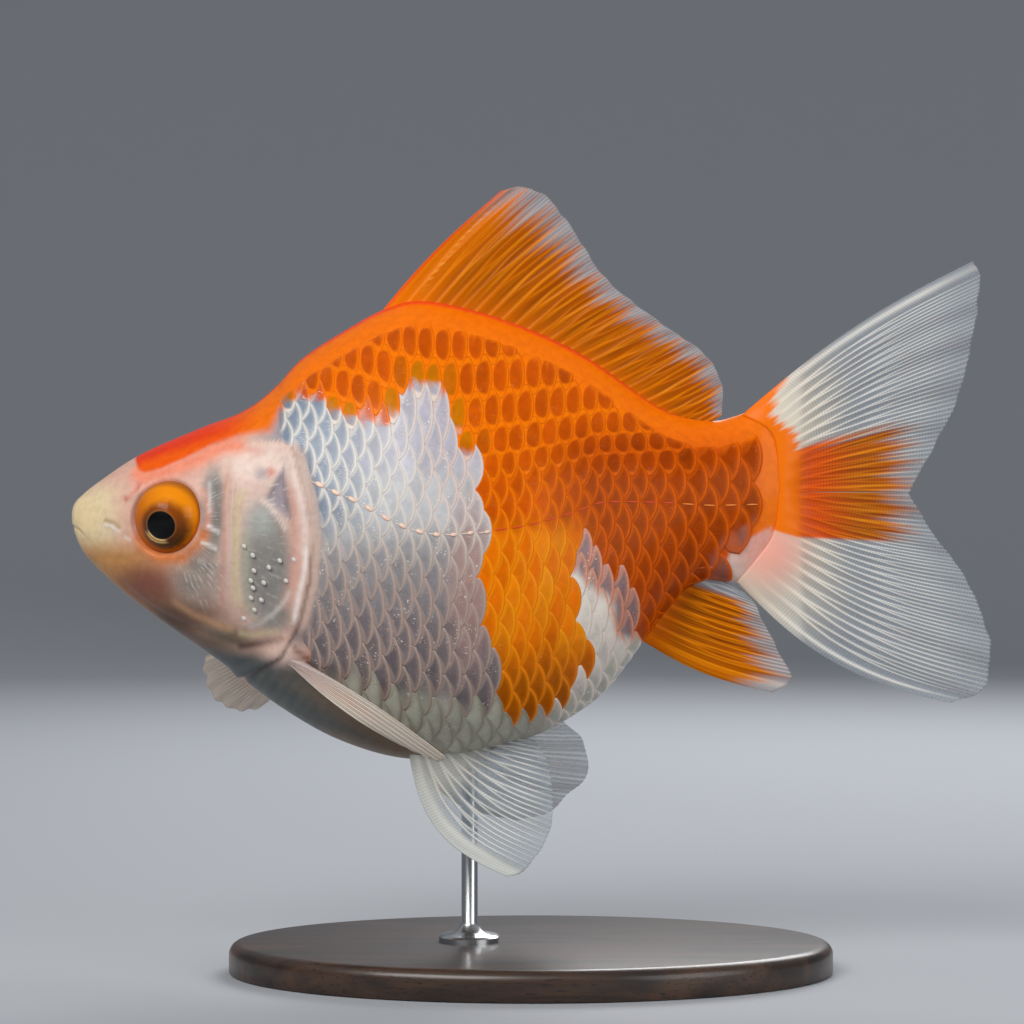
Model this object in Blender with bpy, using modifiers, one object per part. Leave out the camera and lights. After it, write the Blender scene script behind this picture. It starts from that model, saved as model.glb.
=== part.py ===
"""A single-tailed, hump-backed goldfish as a life-size museum model on a plain display stand.

Units are metres and +Z is up. The fish faces -X, its left side is at -Y, and it stands over the
origin, which is the middle of the underside of the stand's base. Outlines are in millimetres,
measured aft (x) and up (z) from the tip of the snout.
"""

import math

import bmesh
import bpy
import numpy as np
from mathutils import Matrix, Vector

MM = 0.001
GAP = 0.3  # clearance between neighbouring pieces
FAR = 70.0  # reaches past the fish on every side, for the cutters
TOTAL_LENGTH = 180.0  # snout to the tips of the tail fin
SNOUT_HEIGHT = 89.3  # snout tip above the floor

# ---------------------------------------------------------------- body outlines
# The back, from the snout over the hump and the dorsal fin's base to the end of the tail stock.
BACK = [
    (0.0, 0.0), (0.5, 2.2), (1.9, 3.9), (5.7, 6.9), (13.5, 12.0), (25.3, 17.2), (33.1, 20.2),
    (38.6, 24.0), (44.8, 30.5), (52.7, 35.8), (62.0, 40.8), (70.0, 42.1), (84.0, 38.8),
    (99.6, 32.0), (115.3, 21.3), (124.5, 18.6), (131.0, 19.9), (136.0, 21.8), (139.4, 19.0),
    (140.8, 13.0), (141.0, 6.5),
]
# The chin, breast, belly, vent and underside of the tail stock.
BELLY = [
    (0.0, 0.0), (0.4, -2.6), (2.7, -7.8), (9.6, -14.6), (17.4, -20.6), (29.2, -28.8),
    (40.9, -37.6), (52.7, -44.2), (66.0, -47.8), (80.0, -46.6), (92.6, -42.4), (103.0, -36.0),
    (108.6, -29.6), (116.5, -19.0), (122.0, -13.8), (127.0, -13.0), (131.5, -13.8),
    (136.0, -11.4), (139.6, -4.5), (140.8, 1.0), (141.0, 6.5),
]
# Half the body's width at its fullest level.
HALF_WIDTH = [
    (0.0, 0.0), (0.5, 2.9), (2.6, 5.6), (9.0, 9.6), (18.0, 13.6), (30.0, 17.4), (42.0, 20.6),
    (58.0, 24.0), (72.0, 24.6), (88.0, 22.4), (103.0, 16.8), (116.0, 11.2), (127.0, 7.6),
    (135.0, 4.8), (139.4, 2.6), (140.7, 1.3), (141.0, 0.0),
]
# How much narrower each section is above than below: 0 is an ellipse, 0.3 a pear.
PEAR = [(0.0, 0.0), (30.0, 0.05), (50.0, 0.22), (72.0, 0.30), (100.0, 0.28), (122.0, 0.12), (141.0, 0.0)]
# How sharp the ridge of the back is: 0 is round.
RIDGE = [(0.0, 0.0), (32.0, 0.0), (60.0, 0.30), (105.0, 0.35), (130.0, 0.15), (141.0, 0.0)]
BODY_LENGTH = BACK[-1][0]

# ---------------------------------------------------------------- where the body is parted
GILL_LINE = [
    (36.5, 40.0), (38.5, 24.0), (41.6, 19.5), (44.6, 11.7), (47.3, 2.9), (48.2, -4.9),
    (47.6, -12.7), (45.6, -20.6), (42.6, -26.4), (35.0, -31.0), (26.0, -34.0), (20.0, -45.0),
]
GILL_COVER_FRONT = [
    (43.0, 14.6), (39.0, 15.4), (34.6, 13.0), (31.4, 8.0), (30.6, -1.0), (30.8, -10.0),
    (32.4, -18.6), (35.6, -24.0), (40.0, -25.0),
]
GILL_COVER_THICKNESS = 1.6
MOUTH_CORNER = (5.4, -6.4)
MOUTH_FRONT = (-2.0, -1.9)
JAW_REAR = (10.6, -19.0)
TAIL_STOCK_START = 116.0

# ---------------------------------------------------------------- eyes
EYE_CENTRE = (21.0, 0.0)
EYE_INSET = 2.9  # how far the eyeball's centre lies inside the side of the head
EYE_RADIUS = 6.8
EYE_DEPTH = 5.8  # half the eyeball's thickness, through the pupil
EYE_TURN = 20.0  # degrees that the eyes look forward of straight out

# ---------------------------------------------------------------- fins
# Each fin is a fan of rays. Its root lies inside the body, and each line is (share of the root,
# aft, out to the left, up). The bow bends the rays sideways in the fin's own plane.
FIN_ROOT_THICKNESS = 1.8
FIN_EDGE_THICKNESS = 0.6
FIN_THIN_FROM = 0.62  # share of a ray's length where the fin has thinned to its edge thickness
DORSAL = {
    "root": [(0.0, 59.0, 0, 35.5), (0.2, 75.0, 0, 37.6), (0.4, 88.0, 0, 34.0), (0.6, 99.0, 0, 29.2),
             (0.8, 109.0, 0, 22.4), (1.0, 119.5, 0, 16.6)],
    "edge": [(0.0, 84.6, 0, 63.8), (0.06, 88.6, 0, 64.4), (0.13, 93.2, 0, 62.6), (0.24, 98.3, 0, 56.3),
             (0.40, 105.0, 0, 46.2), (0.60, 115.6, 0, 37.6), (0.78, 124.0, 0, 31.6), (0.9, 127.4, 0, 25.6),
             (1.0, 127.4, 0, 19.6)],
    "bow": (3.4, -0.6),
    "wave": 0.9,
}
TAIL_UPPER = {
    "root": [(0.0, 132.0, 0, 18.0), (0.5, 136.2, 0, 13.0), (1.0, 137.2, 0, 4.6)],
    "edge": [(0.0, 177.2, 0, 50.0), (0.12, 178.0, 0, 45.6), (0.4, 176.4, 0, 34.0), (0.62, 173.8, 0, 22.6),
             (0.84, 168.6, 0, 12.2), (1.0, 164.1, 0, 4.6)],
    "bow": (2.2, 0.2),
    "wave": -1.6,
}
TAIL_LOWER = {
    "root": [(0.0, 137.2, 0, 4.1), (0.5, 135.4, 0, -4.6), (1.0, 129.0, 0, -11.0)],
    "edge": [(0.0, 164.1, 0, 4.1), (0.14, 168.6, 0, -2.9), (0.36, 175.2, 0, -11.8), (0.58, 179.2, 0, -21.6),
             (0.74, 180.0, 0, -28.6), (0.88, 178.0, 0, -34.8), (1.0, 172.4, 0, -36.8)],
    "bow": (0.0, -4.4),
    "wave": 1.8,
}
ANAL = {
    "root": [(0.0, 109.4, 0, -23.0), (0.4, 113.8, 0, -17.0), (0.75, 118.6, 0, -12.4),
             (1.0, 123.6, 0, -10.4)],
    "edge": [(0.0, 137.8, 0, -34.8), (0.12, 141.2, 0, -32.2), (0.32, 139.0, 0, -27.2),
             (0.6, 135.6, 0, -21.0), (0.84, 133.2, 0, -16.4), (1.0, 129.2, 0, -14.2)],
    "bow": (-1.8, 0.6),
    "wave": 0.8,
}
PELVIC_LEFT = {
    "root": [(0.0, 66.0, 5.6, -43.8), (0.5, 71.0, 5.0, -43.4), (1.0, 76.0, 4.2, -43.0)],
    "edge": [(0.0, 85.8, 17.4, -68.8), (0.14, 89.0, 16.8, -67.4), (0.36, 92.8, 15.0, -62.6),
             (0.6, 94.4, 12.4, -56.0), (0.82, 93.6, 9.4, -48.8), (1.0, 91.0, 6.6, -43.6)],
    "bow": (-5.6, 0.8),
    "wave": 0.0,
}
# The right pelvic fin is swung further back than the left one.
PELVIC_RIGHT = {
    "root": [(0.0, 66.0, 5.6, -43.8), (0.5, 71.0, 5.0, -43.4), (1.0, 76.0, 4.2, -43.0)],
    "edge": [(0.0, 90.0, 16.8, -65.2), (0.14, 93.6, 16.2, -63.4), (0.36, 98.2, 14.4, -58.4),
             (0.6, 101.8, 12.0, -51.2), (0.82, 100.4, 9.4, -44.6), (1.0, 96.4, 7.2, -40.6)],
    "bow": (-5.0, 0.8),
    "wave": 0.0,
}
# The left pectoral fin is folded back beside the belly, nearly edge on.
PECTORAL_FOLDED = {
    "root": [(0.0, 40.0, 16.4, -25.0), (0.5, 41.2, 14.4, -27.6), (1.0, 42.4, 12.2, -29.6)],
    "edge": [(0.0, 73.2, 30.4, -45.0), (0.25, 73.6, 28.6, -46.2), (0.6, 70.6, 24.4, -46.4),
             (1.0, 63.6, 20.6, -44.4)],
    "bow": (1.0, -0.6),
    "wave": 0.0,
}
# The right pectoral fin is spread outwards, downwards and a little forwards, as in braking.
PECTORAL_SPREAD = {
    "root": [(0.0, 39.6, 15.0, -25.0), (0.5, 41.2, 13.8, -27.6), (1.0, 42.8, 12.2, -30.0)],
    "edge": [(0.0, 22.6, 33.4, -29.2), (0.22, 22.8, 35.0, -34.0), (0.46, 24.8, 35.6, -38.2),
             (0.74, 29.6, 33.8, -40.4), (1.0, 34.6, 30.0, -39.6)],
    "bow": (-0.8, 1.0),
    "wave": 0.0,
}

# ---------------------------------------------------------------- display stand
BASE_LENGTH = 118.0  # an oval
BASE_WIDTH = 80.0
BASE_HEIGHT = 6.0
BASE_SIDES = 60
ROD_AFT = 78.0  # where the rod meets the belly, aft of the snout
ROD_RADIUS = 1.6
ROD_FOOT_RADIUS = 6.0
ROD_FOOT_HEIGHT = 1.4
ROD_TOP = -42.0  # inside the belly, before the body is cut from it
ROD_COLLAR_HEIGHT = 2.0


# ---------------------------------------------------------------- curves and tables
def smooth_path(points, per_span=16):
    """Points of the Catmull-Rom curve through the given ones."""
    ends = [2 * np.array(points[0]) - points[1], 2 * np.array(points[-1]) - points[-2]]
    knots = np.array([ends[0], *points, ends[1]], float)
    made = []
    for a, b, c, d in zip(knots, knots[1:], knots[2:], knots[3:]):
        for t in np.arange(per_span) / per_span:
            made.append(0.5 * (2 * b + (c - a) * t + (2 * a - 5 * b + 4 * c - d) * t**2
                               + (3 * b - a - 3 * c + d) * t**3))
    return np.array([*made, knots[-2]])


def table(points):
    """A smooth function of x through (x, value) points whose x rises."""
    path = smooth_path(points)
    along = np.maximum.accumulate(path[:, 0])
    return lambda x: float(np.interp(x, along, path[:, 1]))


back, belly, half_width = table(BACK), table(BELLY), table(HALF_WIDTH)
pear, ridge = table(PEAR), table(RIDGE)


def body_point(x, up, out):
    """A point of the body's surface: x aft of the snout, and (out, up) the direction round the section."""
    high, low, lean = back(x), belly(x), pear(x)
    fullest = (1 - math.sqrt(1 + 8 * lean**2)) / (4 * lean) if lean > 1e-6 else 0.0
    widest = math.sqrt(1 - fullest**2) * (1 - lean * fullest)
    share = abs(out) ** (1 + ridge(x) * max(up, 0.0) ** 2) * (1 - lean * up) / widest
    y = math.copysign(half_width(x) * share, out)
    return place(x, y, (high + low) / 2 + (high - low) / 2 * up)


def place(x, y, z):
    """Millimetres from the snout, to the model's metres."""
    return Vector((x - TOTAL_LENGTH / 2, y, z + SNOUT_HEIGHT)) * MM


def side_depth(x, z):
    """How far out the body's side lies at a point of its profile, in millimetres."""
    high, low = back(x), belly(x)
    up = (z - (high + low) / 2) / ((high - low) / 2)
    return body_point(x, up, math.sqrt(1 - up**2)).y / MM


# ---------------------------------------------------------------- objects
def collection(name):
    made = bpy.data.collections.new(name)
    bpy.context.scene.collection.children.link(made)
    return made


def material(name, colour, roughness, metallic=0.0):
    made = bpy.data.materials.new(name)
    made.use_nodes = True
    shader = made.node_tree.nodes["Principled BSDF"]
    shader.inputs["Base Color"].default_value = (*colour, 1.0)
    shader.inputs["Roughness"].default_value = roughness
    shader.inputs["Metallic"].default_value = metallic
    return made


def add_object(name, shape, where, finish=None):
    """Turns a bmesh into an object, smooth but for its sharp corners."""
    mesh = bpy.data.meshes.new(name)
    shape.to_mesh(mesh)
    shape.free()
    mesh.shade_smooth()
    mesh.set_sharp_from_angle(angle=math.radians(40))
    made = bpy.data.objects.new(name, mesh)
    where.objects.link(made)
    if finish:
        mesh.materials.append(finish)
    return made


def as_helper(obj):
    obj.hide_render = True
    obj.display_type = "WIRE"
    return obj


def cut(obj, other, operation="DIFFERENCE", solver="EXACT"):
    step = obj.modifiers.new(f"{operation.lower()}_{other.name}", "BOOLEAN")
    step.operation = operation
    step.solver = solver
    step.object = other
    return obj


def body_shape(grow=0.0, around=30, along=38):
    """The whole body as one closed bmesh, from a sphere whose poles are the snout and the tail."""
    shape = bmesh.new()
    bmesh.ops.create_uvsphere(shape, u_segments=around, v_segments=along, radius=1.0)
    for v in shape.verts:
        x = BODY_LENGTH * (1 - v.co.z) / 2
        ring = math.hypot(v.co.x, v.co.y)
        if ring < 1e-6:
            v.co = place(x, 0.0, 0.0 if x < 1.0 else BACK[-1][1])
        else:
            v.co = body_point(x, v.co.x / ring, v.co.y / ring)
    shape.normal_update()
    if grow:
        moved = [v.co + v.normal * grow * MM for v in shape.verts]
        for v, co in zip(shape.verts, moved):
            v.co = co
    return shape


def prism(name, outline, where, y_from=-FAR, y_to=FAR):
    """A cutter: a flat outline in the fish's profile, carried across it."""
    shape = bmesh.new()
    rim = [shape.verts.new(place(x, y_from, z)) for x, z in outline]
    face = shape.faces.new(rim)
    grown = bmesh.ops.extrude_face_region(shape, geom=[face])
    moved = [g for g in grown["geom"] if isinstance(g, bmesh.types.BMVert)]
    bmesh.ops.translate(shape, verts=moved, vec=Vector((0, (y_to - y_from) * MM, 0)))
    bmesh.ops.recalc_face_normals(shape, faces=shape.faces)
    return as_helper(add_object(name, shape, where))


def eyeball(name, centre, grow, turn, where, finish=None):
    """A flattened ball whose short axis is the line of sight, turned about the upright axis."""
    shape = bmesh.new()
    bmesh.ops.create_uvsphere(shape, u_segments=20, v_segments=14, radius=1.0)
    radii = Vector((EYE_RADIUS + grow, EYE_RADIUS + grow, EYE_DEPTH + grow))
    bmesh.ops.scale(shape, vec=radii * MM, verts=shape.verts)
    stand = Matrix.Rotation(math.radians(turn), 3, "Z") @ Matrix.Rotation(math.radians(90), 3, "X")
    bmesh.ops.rotate(shape, matrix=stand, verts=shape.verts)
    bmesh.ops.translate(shape, vec=centre, verts=shape.verts)
    return add_object(name, shape, where, finish)


def fin(name, plan, side, rays, steps, where, finish):
    """A fin: a grid of rays from the root to the edge, thickened, thin at the edge."""
    root, edge = (
        [table([(u, point[axis]) for u, *point in plan[line]]) for axis in range(3)]
        for line in ("root", "edge")
    )
    shape = bmesh.new()
    bmesh.ops.create_grid(shape, x_segments=rays, y_segments=steps, size=1.0)
    shape.verts.index_update()
    taper = {}
    for v in shape.verts:
        u, out = (v.co.x + 1) / 2, (v.co.y + 1) / 2
        start = np.array([f(u) for f in root])
        end = np.array([f(u) for f in edge])
        ray = end - start
        across = np.array([-ray[2], 0.0, ray[0]]) / math.hypot(ray[0], ray[2])
        bow = plan["bow"][0] * (1 - u) + plan["bow"][1] * u
        x, y, z = start + ray * out + across * bow * math.sin(math.pi * out)
        y += plan["wave"] * out**2 * math.sin(2 * math.pi * u)
        v.co = place(x, side * y, z)
        taper[v.index] = 1 - (1 - FIN_EDGE_THICKNESS / FIN_ROOT_THICKNESS) * min(1.0, out / FIN_THIN_FROM)
    made = add_object(name, shape, where, finish)
    group = made.vertex_groups.new(name="taper")
    for index, share in taper.items():
        group.add([index], share, "REPLACE")
    wall = made.modifiers.new("thickness", "SOLIDIFY")
    wall.thickness = FIN_ROOT_THICKNESS * MM
    wall.offset = 0.0
    wall.vertex_group = group.name
    return made


# ---------------------------------------------------------------- build
def clear_scene():
    for obj in list(bpy.data.objects):
        bpy.data.objects.remove(obj, do_unlink=True)


def gill_edge(shift):
    return [(x + shift, z) for x, z in GILL_LINE]


def build_flesh(parts, tools, white, orange):
    """The head, lower jaw, gill covers, trunk and tail stock, parted from one body by thin cuts."""
    cover = [p for p in GILL_LINE if -25.0 < p[1] < 14.6] + GILL_COVER_FRONT[::-1]
    middle = np.mean(cover, axis=0)
    wider = []
    for point in cover:
        away = np.array(point) - middle
        wider.append(tuple(point + away / np.linalg.norm(away) * GAP * 1.4))
    inner = as_helper(add_object("under_gill_cover", body_shape(-GILL_COVER_THICKNESS), tools))
    floor = as_helper(add_object("gill_recess_floor", body_shape(-GILL_COVER_THICKNESS - GAP), tools))
    recess = prism("gill_recess", wider, tools)
    cut(recess, floor)
    cover_region = prism("gill_cover_region", [(x - GAP / 2, z) for x, z in cover], tools)
    cut(cover_region, inner)

    jaw = [MOUTH_FRONT, MOUTH_CORNER, JAW_REAR, (JAW_REAR[0], -FAR), (-FAR, -FAR)]
    jaw_region = prism("jaw_region", jaw, tools)
    around_jaw = [(x + GAP, z + GAP) for x, z in jaw[:3]] + jaw[3:]
    jaw_space = prism("jaw_space", around_jaw, tools)

    pieces = {
        "head": [(-FAR, FAR), *gill_edge(-GAP / 2), (-FAR, -FAR)],
        "trunk": [*gill_edge(GAP / 2), (GILL_LINE[-1][0], -FAR), (TAIL_STOCK_START, -FAR),
                  (TAIL_STOCK_START, FAR), (GILL_LINE[0][0], FAR)],
        "tail_stock": [(TAIL_STOCK_START + GAP, FAR), (2 * BODY_LENGTH, FAR), (2 * BODY_LENGTH, -FAR),
                       (TAIL_STOCK_START + GAP, -FAR)],
    }
    made = {}
    for name, outline in pieces.items():
        made[name] = add_object(name, body_shape(), parts, orange if name == "tail_stock" else white)
        cut(made[name], prism(f"{name}_region", outline, tools), "INTERSECT")
    cut(made["head"], recess)
    cut(made["head"], jaw_space)
    cut(add_object("lower_jaw", body_shape(), parts, white), jaw_region, "INTERSECT")
    square = [(0.0, -FAR), (FAR, -FAR), (FAR, FAR), (0.0, FAR)]
    for side, y_from, y_to in (("left", -FAR, -GAP), ("right", GAP, FAR)):
        plate = add_object(f"gill_cover_{side}", body_shape(), parts, white)
        cut(plate, cover_region, "INTERSECT")
        cut(plate, prism(f"gill_half_{side}", square, tools, y_from, y_to), "INTERSECT")
    return made


def build_eyes(parts, tools, head, eye_gold):
    x, z = EYE_CENTRE
    out = side_depth(x, z) - EYE_INSET
    for side, sign in (("left", -1), ("right", 1)):
        centre = place(x, sign * out, z)
        eyeball(f"eye_{side}", centre, 0.0, sign * EYE_TURN, parts, eye_gold)
        socket = eyeball(f"eye_socket_{side}", centre, GAP, sign * EYE_TURN, tools)
        cut(head, as_helper(socket))


def build_fins(parts, tools, orange, clear):
    body = as_helper(add_object("body_and_gap", body_shape(GAP), tools))
    fins = [
        fin("dorsal_fin", DORSAL, 1, 15, 5, parts, orange),
        fin("tail_fin_upper", TAIL_UPPER, 1, 9, 7, parts, clear),
        fin("tail_fin_lower", TAIL_LOWER, 1, 9, 7, parts, clear),
        fin("anal_fin", ANAL, 1, 8, 5, parts, orange),
        fin("pelvic_fin_left", PELVIC_LEFT, -1, 8, 6, parts, clear),
        fin("pelvic_fin_right", PELVIC_RIGHT, 1, 8, 6, parts, clear),
        fin("pectoral_fin_left", PECTORAL_FOLDED, -1, 6, 6, parts, clear),
        fin("pectoral_fin_right", PECTORAL_SPREAD, 1, 6, 6, parts, clear),
    ]
    for made in fins:
        cut(made, body, solver="MANIFOLD")
    return body


def build_stand(parts, body, wood, steel):
    plate = bpy.data.curves.new("stand_base", "CURVE")
    plate.dimensions = "2D"
    plate.fill_mode = "BOTH"
    plate.extrude = BASE_HEIGHT / 2 * MM
    line = plate.splines.new("POLY")
    line.points.add(BASE_SIDES - 1)
    line.use_cyclic_u = True
    for step, point in enumerate(line.points):
        turn = 2 * math.pi * step / BASE_SIDES
        point.co = (BASE_LENGTH / 2 * MM * math.cos(turn), BASE_WIDTH / 2 * MM * math.sin(turn), 0.0, 1.0)
    base = bpy.data.objects.new("stand_base", plate)
    base.location.z = BASE_HEIGHT / 2 * MM
    plate.materials.append(wood)
    parts.objects.link(base)

    shape = bmesh.new()
    low = BASE_HEIGHT + GAP
    high = SNOUT_HEIGHT + ROD_TOP
    outline = [
        (0.0, high), (ROD_RADIUS, high), (ROD_RADIUS, low + ROD_FOOT_HEIGHT + ROD_COLLAR_HEIGHT),
        (ROD_RADIUS * 1.5, low + ROD_FOOT_HEIGHT + ROD_COLLAR_HEIGHT / 5),
        (ROD_FOOT_RADIUS * 0.9, low + ROD_FOOT_HEIGHT), (ROD_FOOT_RADIUS, low + ROD_FOOT_HEIGHT * 0.6),
        (ROD_FOOT_RADIUS, low), (0.0, low),
    ]
    points = [shape.verts.new((r * MM, 0.0, z * MM)) for r, z in outline]
    for a, b in zip(points, points[1:]):
        shape.edges.new((a, b))
    rod = add_object("stand_rod", shape, parts, steel)
    rod.location.x = (ROD_AFT - TOTAL_LENGTH / 2) * MM
    turn = rod.modifiers.new("turned", "SCREW")
    turn.steps = 20
    turn.render_steps = 20
    turn.use_merge_vertices = True
    turn.merge_threshold = 0.00001
    cut(rod, body)


def main():
    clear_scene()
    parts, tools = collection("goldfish"), collection("cutters")
    white = material("pearl_skin", (0.86, 0.80, 0.77), 0.35)
    orange = material("orange_skin", (0.90, 0.25, 0.02), 0.35)
    clear = material("clear_fin", (0.78, 0.82, 0.84), 0.40)
    orange_fin = material("orange_fin", (0.85, 0.36, 0.03), 0.40)
    eye_gold = material("eye_gold", (0.80, 0.38, 0.02), 0.15)
    wood = material("dark_wood", (0.07, 0.04, 0.025), 0.45)
    steel = material("satin_steel", (0.62, 0.62, 0.61), 0.30, 1.0)
    flesh = build_flesh(parts, tools, white, orange)
    build_eyes(parts, tools, flesh["head"], eye_gold)
    body = build_fins(parts, tools, orange_fin, clear)
    build_stand(parts, body, wood, steel)


main()
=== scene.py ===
import math

import bmesh
import bpy
import numpy as np
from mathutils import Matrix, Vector


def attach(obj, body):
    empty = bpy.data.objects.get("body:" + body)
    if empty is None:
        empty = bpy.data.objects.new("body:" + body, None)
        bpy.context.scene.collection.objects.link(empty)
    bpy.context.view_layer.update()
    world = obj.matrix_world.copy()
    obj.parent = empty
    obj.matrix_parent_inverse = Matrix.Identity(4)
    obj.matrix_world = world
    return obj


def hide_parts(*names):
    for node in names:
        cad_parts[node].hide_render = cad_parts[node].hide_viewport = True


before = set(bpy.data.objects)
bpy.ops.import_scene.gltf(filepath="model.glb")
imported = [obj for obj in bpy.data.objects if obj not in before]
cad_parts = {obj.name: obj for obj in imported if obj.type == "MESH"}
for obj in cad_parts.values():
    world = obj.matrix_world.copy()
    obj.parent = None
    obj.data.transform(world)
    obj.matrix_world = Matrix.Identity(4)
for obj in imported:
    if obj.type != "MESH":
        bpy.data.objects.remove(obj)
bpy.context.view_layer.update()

# ==================================================================== the skin
# One closed skin over the head, gill covers, trunk and tail stock, cast as one piece so that no seam
# shows. It is a ball of rings drawn out along the fish, crowded on the head, with the folds pressed in.
MM = 0.001
TOTAL_LENGTH = 180  # snout to the tips of the tail fin; all sizes below are millimetres
SNOUT_HEIGHT = 89.3
BODY_LENGTH = 141
TAIL_END_HEIGHT = 6.5
# Side view and plan of the bare body: (distance aft of the snout, height or half width).
BACK = [
    (0, 0), (0.5, 2.2), (1.9, 3.9), (5.7, 6.9), (13.5, 12), (25.3, 17.2), (33.1, 20.2), (38.6, 24),
    (44.8, 30.5), (52.7, 35.8), (62, 40.8), (70, 42.1), (84, 38.8), (99.6, 32), (115.3, 21.3),
    (124.5, 18.6), (131, 19.9), (136, 21.8), (139.4, 19), (140.8, 13), (141, 6.5),
]
BELLY = [
    (0, 0), (0.4, -2.6), (2.7, -7.8), (9.6, -14.6), (17.4, -20.6), (29.2, -28.8), (40.9, -37.6),
    (52.7, -44.2), (66, -47.8), (80, -46.6), (92.6, -42.4), (103, -36), (108.6, -29.6),
    (116.5, -19), (122, -13.8), (127, -13), (131.5, -13.8), (136, -11.4), (139.6, -4.5),
    (140.8, 1), (141, 6.5),
]
HALF_WIDTH = [
    (0, 0), (0.5, 2.9), (2.6, 5.6), (9, 9.6), (18, 13.6), (30, 17.4), (42, 20.6), (58, 24),
    (72, 24.6), (88, 22.4), (103, 16.8), (116, 11.2), (127, 7.6), (135, 4.8), (139.4, 2.6),
    (140.7, 1.3), (141, 0),
]
PEAR = [(0, 0), (30, 0.05), (50, 0.22), (72, 0.30), (100, 0.28), (122, 0.12), (141, 0)]
RIDGE = [(0, 0), (32, 0), (60, 0.30), (105, 0.35), (130, 0.15), (141, 0)]
GILL_LINE = [
    (43.6, 14.4), (44.6, 11.7), (47.3, 2.9), (48.2, -4.9), (47.6, -12.7), (45.6, -20.6), (42.6, -26.4),
    (35, -31), (26, -34), (20, -45),
]
LATERAL_LINE = [
    (30, 11), (46.2, 7), (52.8, 4.4), (59.2, 1.4), (64.9, -1.7), (71.9, -3.6), (80.6, -3.2),
    (90.8, -1.5), (98.8, 0.8), (104.3, 2.5), (117.8, 2.3), (126.6, 1.9), (141, 2.3),
]
SKIN_AROUND = 252
SKIN_RINGS = 360
# Where the rings stand: (share of the rings counted from the snout, millimetres aft).
RING_PLACES = [
    (0, 0), (0.01, 0.03), (0.03, 0.25), (0.06, 1), (0.12, 3.6), (0.3, 16), (0.5, 30), (0.68, 48),
    (0.93, 122), (0.975, 136.5), (0.99, 140), (1, 141),
]
BARE_DEPTH = 0.22  # how far the bare skin lies inside the body's full outline
SCALED_DEPTH = 0.44  # and under the scales
EYE_CENTRE = (20.7, -0.45)
EYE_INSET = 2.8
EYE_RADIUS = 7
EYE_DEPTH = 5.8
EYE_TURN = math.radians(20)  # the eyes look this far forward of straight out


def smooth_path(points, per_span=16):
    """Points of a smooth curve through the given ones."""
    ends = [2 * np.array(points[0]) - points[1], 2 * np.array(points[-1]) - points[-2]]
    knots = np.array([ends[0], *points, ends[1]], float)
    made = []
    for a, b, c, d in zip(knots, knots[1:], knots[2:], knots[3:]):
        for t in np.arange(per_span) / per_span:
            made.append(0.5 * (2 * b + (c - a) * t + (2 * a - 5 * b + 4 * c - d) * t**2
                               + (3 * b - a - 3 * c + d) * t**3))
    return np.array([*made, knots[-2]])


def table(points):
    """A smooth function through (x, value) points whose x rises."""
    path = smooth_path(points)
    along = np.maximum.accumulate(path[:, 0])
    return lambda x: np.interp(x, along, path[:, 1])


back, belly, half_width = table(BACK), table(BELLY), table(HALF_WIDTH)
pear, ridge = table(PEAR), table(RIDGE)
lateral = table(LATERAL_LINE)


def body_at(x, up, out):
    """Points (x, y, z) of the full outline, where (out, up) is the direction round the section."""
    high, low, lean = back(x), belly(x), pear(x)
    safe = np.maximum(lean, 1e-6)
    fullest = (1 - np.sqrt(1 + 8 * safe**2)) / (4 * safe)
    widest = np.sqrt(1 - fullest**2) * (1 - lean * fullest)
    share = np.abs(out) ** (1 + ridge(x) * np.maximum(up, 0) ** 2) * (1 - lean * up) / widest
    y = np.copysign(half_width(x) * share, out)
    return np.stack([x, y, (high + low) / 2 + (high - low) / 2 * up], axis=-1)


def side_depth(x, z):
    """How far out the side lies at a point of the profile."""
    high, low = back(x), belly(x)
    up = np.clip((z - (high + low) / 2) / ((high - low) / 2), -0.999, 0.999)
    return body_at(x, up, np.sqrt(1 - up**2))[..., 1]


def to_model(points):
    """Millimetres from the snout, to the model's metres."""
    return (np.asarray(points) + [-TOTAL_LENGTH / 2, 0, SNOUT_HEIGHT]) * MM


def step(low, high, value):
    """0 below low, 1 above high, and a smooth rise between."""
    t = np.clip((value - low) / (high - low), 0, 1)
    return t * t * (3 - 2 * t)


def from_line(path, x, z):
    """Distance of each (x, z) from a line of points, signed plus on its left, and how far along it is."""
    best = np.full(np.shape(x), 1e9)
    sign = np.ones(np.shape(x))
    place = np.zeros(np.shape(x))
    points = np.array(path, float)
    for number, (a, b) in enumerate(zip(points, points[1:])):
        run = b - a
        t = np.clip(((x - a[0]) * run[0] + (z - a[1]) * run[1]) / (run @ run), 0, 1)
        dx, dz = x - a[0] - run[0] * t, z - a[1] - run[1] * t
        far = np.hypot(dx, dz)
        near = far < best
        best = np.where(near, far, best)
        sign = np.where(near, np.sign(run[0] * (z - a[1]) - run[1] * (x - a[0])), sign)
        place = np.where(near, (number + t) / (len(points) - 1), place)
    return best * np.where(sign == 0, 1, sign), place


def within(outline, x, z):
    """Depth of each (x, z) inside a closed outline, minus outside it."""
    ring = np.array([*outline, outline[0]], float)
    odd = np.zeros(np.shape(x), bool)
    for (ax, az), (bx, bz) in zip(ring, ring[1:]):
        if az == bz:
            continue
        odd ^= ((az > z) != (bz > z)) & (x < (bx - ax) * (z - az) / (bz - az) + ax)
    far = np.abs(from_line(ring, x, z)[0])
    return np.where(odd, far, -far)


def spot(x, z, centre, radii, power=1):
    """1 at the centre of an oval, fading out past its rim."""
    return np.exp(-((((x - centre[0]) / radii[0]) ** 2 + ((z - centre[1]) / radii[1]) ** 2) ** power))


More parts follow.
